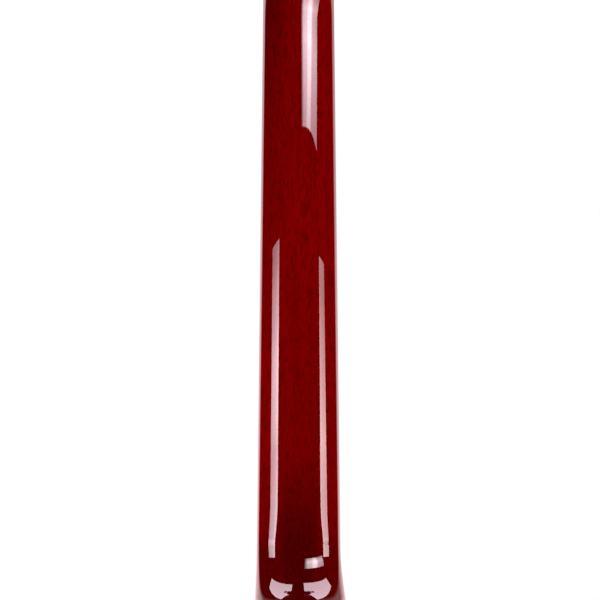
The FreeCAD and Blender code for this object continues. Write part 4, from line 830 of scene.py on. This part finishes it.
def white_room():
    """White to the eye, and a nearly even light on matt colour. Gloss mirrors a dark room with a pale wall.

    The wall stands on the fingerboard's side and gives the neck's edges their pink rims. It is dimmer high
    up, it loses its blush towards the ceiling and the ground, and the ground mirrors as a plain grey.
    """
    world = bpy.data.worlds.new("white_studio")
    bpy.context.scene.world = world
    world.use_nodes = True
    tree = world.node_tree
    tree.nodes.clear()
    ray = put(tree, "LightPath")
    heading = put(tree, "TexCoord").outputs["Generated"]
    way = put(tree, "SeparateXYZ", {"Vector": heading})
    backward = put(tree, "VectorMath", {0: heading, 1: (0.04, 1.0, 0.3)}, operation="DOT_PRODUCT")
    wall = put(tree, "ValToRGB", {"Fac": backward.outputs["Value"]},
               [(0.55, "#030303"), (0.68, "#ffd2d7"), (0.84, "#cdb0b3"), (0.97, "#868686")])
    steepness = put(tree, "Math", {0: way.outputs["Z"]}, operation="ABSOLUTE")
    blush = put(tree, "MapRange", {"Value": steepness, "From Min": 0.25, "From Max": 0.42,
                                   "To Min": 1.0, "To Max": 0.15})
    wall = put(tree, "HueSaturation", {"Saturation": blush, "Color": wall})
    lean = put(tree, "Math", {0: way.outputs["X"], 1: 0.25, 2: way.outputs["Z"]}, operation="MULTIPLY_ADD")
    brightness = put(tree, "MapRange", {"Value": lean, "From Min": 0.1, "From Max": 0.45,
                                        "To Min": 3.3, "To Max": 1.0})
    ground = put(tree, "MapRange", {"Value": way.outputs["Z"], "From Min": -0.3, "From Max": -0.45,
                                    "To Min": 0.0, "To Max": 0.45})
    mirrored = put(tree, "VectorMath", {0: wall, "Scale": brightness}, operation="SCALE")
    mirrored = put(tree, "VectorMath", {0: mirrored, 1: ground}, operation="MAXIMUM")
    for_gloss = put(tree, "VectorMath", {0: mirrored, "Scale": ray.outputs["Is Glossy Ray"]},
                    operation="SCALE")
    from_front = put(tree, "MapRange", {"Value": way.outputs["X"], "From Min": -0.2, "From Max": 1.0,
                                        "To Min": 0.4, "To Max": 1.0})
    all_round = put(tree, "MapRange", {"Value": way.outputs["Y"], "From Min": -0.2, "From Max": 0.6,
                                       "To Min": from_front, "To Max": 1.15})
    for_matt = put(tree, "Math", {0: ray.outputs["Is Diffuse Ray"], 1: all_round}, operation="MULTIPLY")
    light = put(tree, "Math", {0: for_matt, 1: ray.outputs["Is Camera Ray"]}, operation="ADD")
    light = put(tree, "Math", {0: light, 1: ray.outputs["Is Transmission Ray"]}, operation="ADD")
    light = put(tree, "VectorMath", {0: for_gloss, 1: light}, operation="ADD")
    back = put(tree, "Background", {"Color": light, "Strength": 1.0})
    put(tree, "OutputWorld", {"Surface": back})


def pale_floor():
    """A round of pale matt board under the neck, which fades into the white room from its middle outwards."""
    bpy.ops.object.select_all(action="DESELECT")
    bpy.ops.mesh.primitive_circle_add(vertices=96, radius=0.42, fill_type="NGON",
                                      location=(0, 0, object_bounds()[0].z - 0.2 * MM))
    floor = bpy.context.object
    floor.name = "floor"
    material = bpy.data.materials.new("pale_matt_board")
    material.use_nodes = True
    tree = material.node_tree
    tree.nodes.clear()
    place = put(tree, "TexCoord").outputs["Object"]
    from_middle = put(tree, "VectorMath", {0: place}, operation="LENGTH")
    fade = put(tree, "MapRange", {"Value": from_middle.outputs["Value"], "From Min": 0.12, "From Max": 0.33},
               interpolation_type="SMOOTHSTEP")
    seen = put(tree, "Math", {0: fade, 1: put(tree, "LightPath").outputs["Is Camera Ray"]},
               operation="MULTIPLY")
    matt = put(tree, "BsdfDiffuse", {"Color": "#f0efec"})
    white = put(tree, "Emission", {"Color": "#ffffff", "Strength": 1.0})
    put(tree, "OutputMaterial", {"Surface": put(tree, "MixShader", {0: seen, 1: matt, 2: white})})
    floor.data.materials.append(material)
    floor.visible_glossy = False
    floor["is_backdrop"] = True


white_room()
pale_floor()

bpy.context.scene.view_settings.view_transform = "Standard"
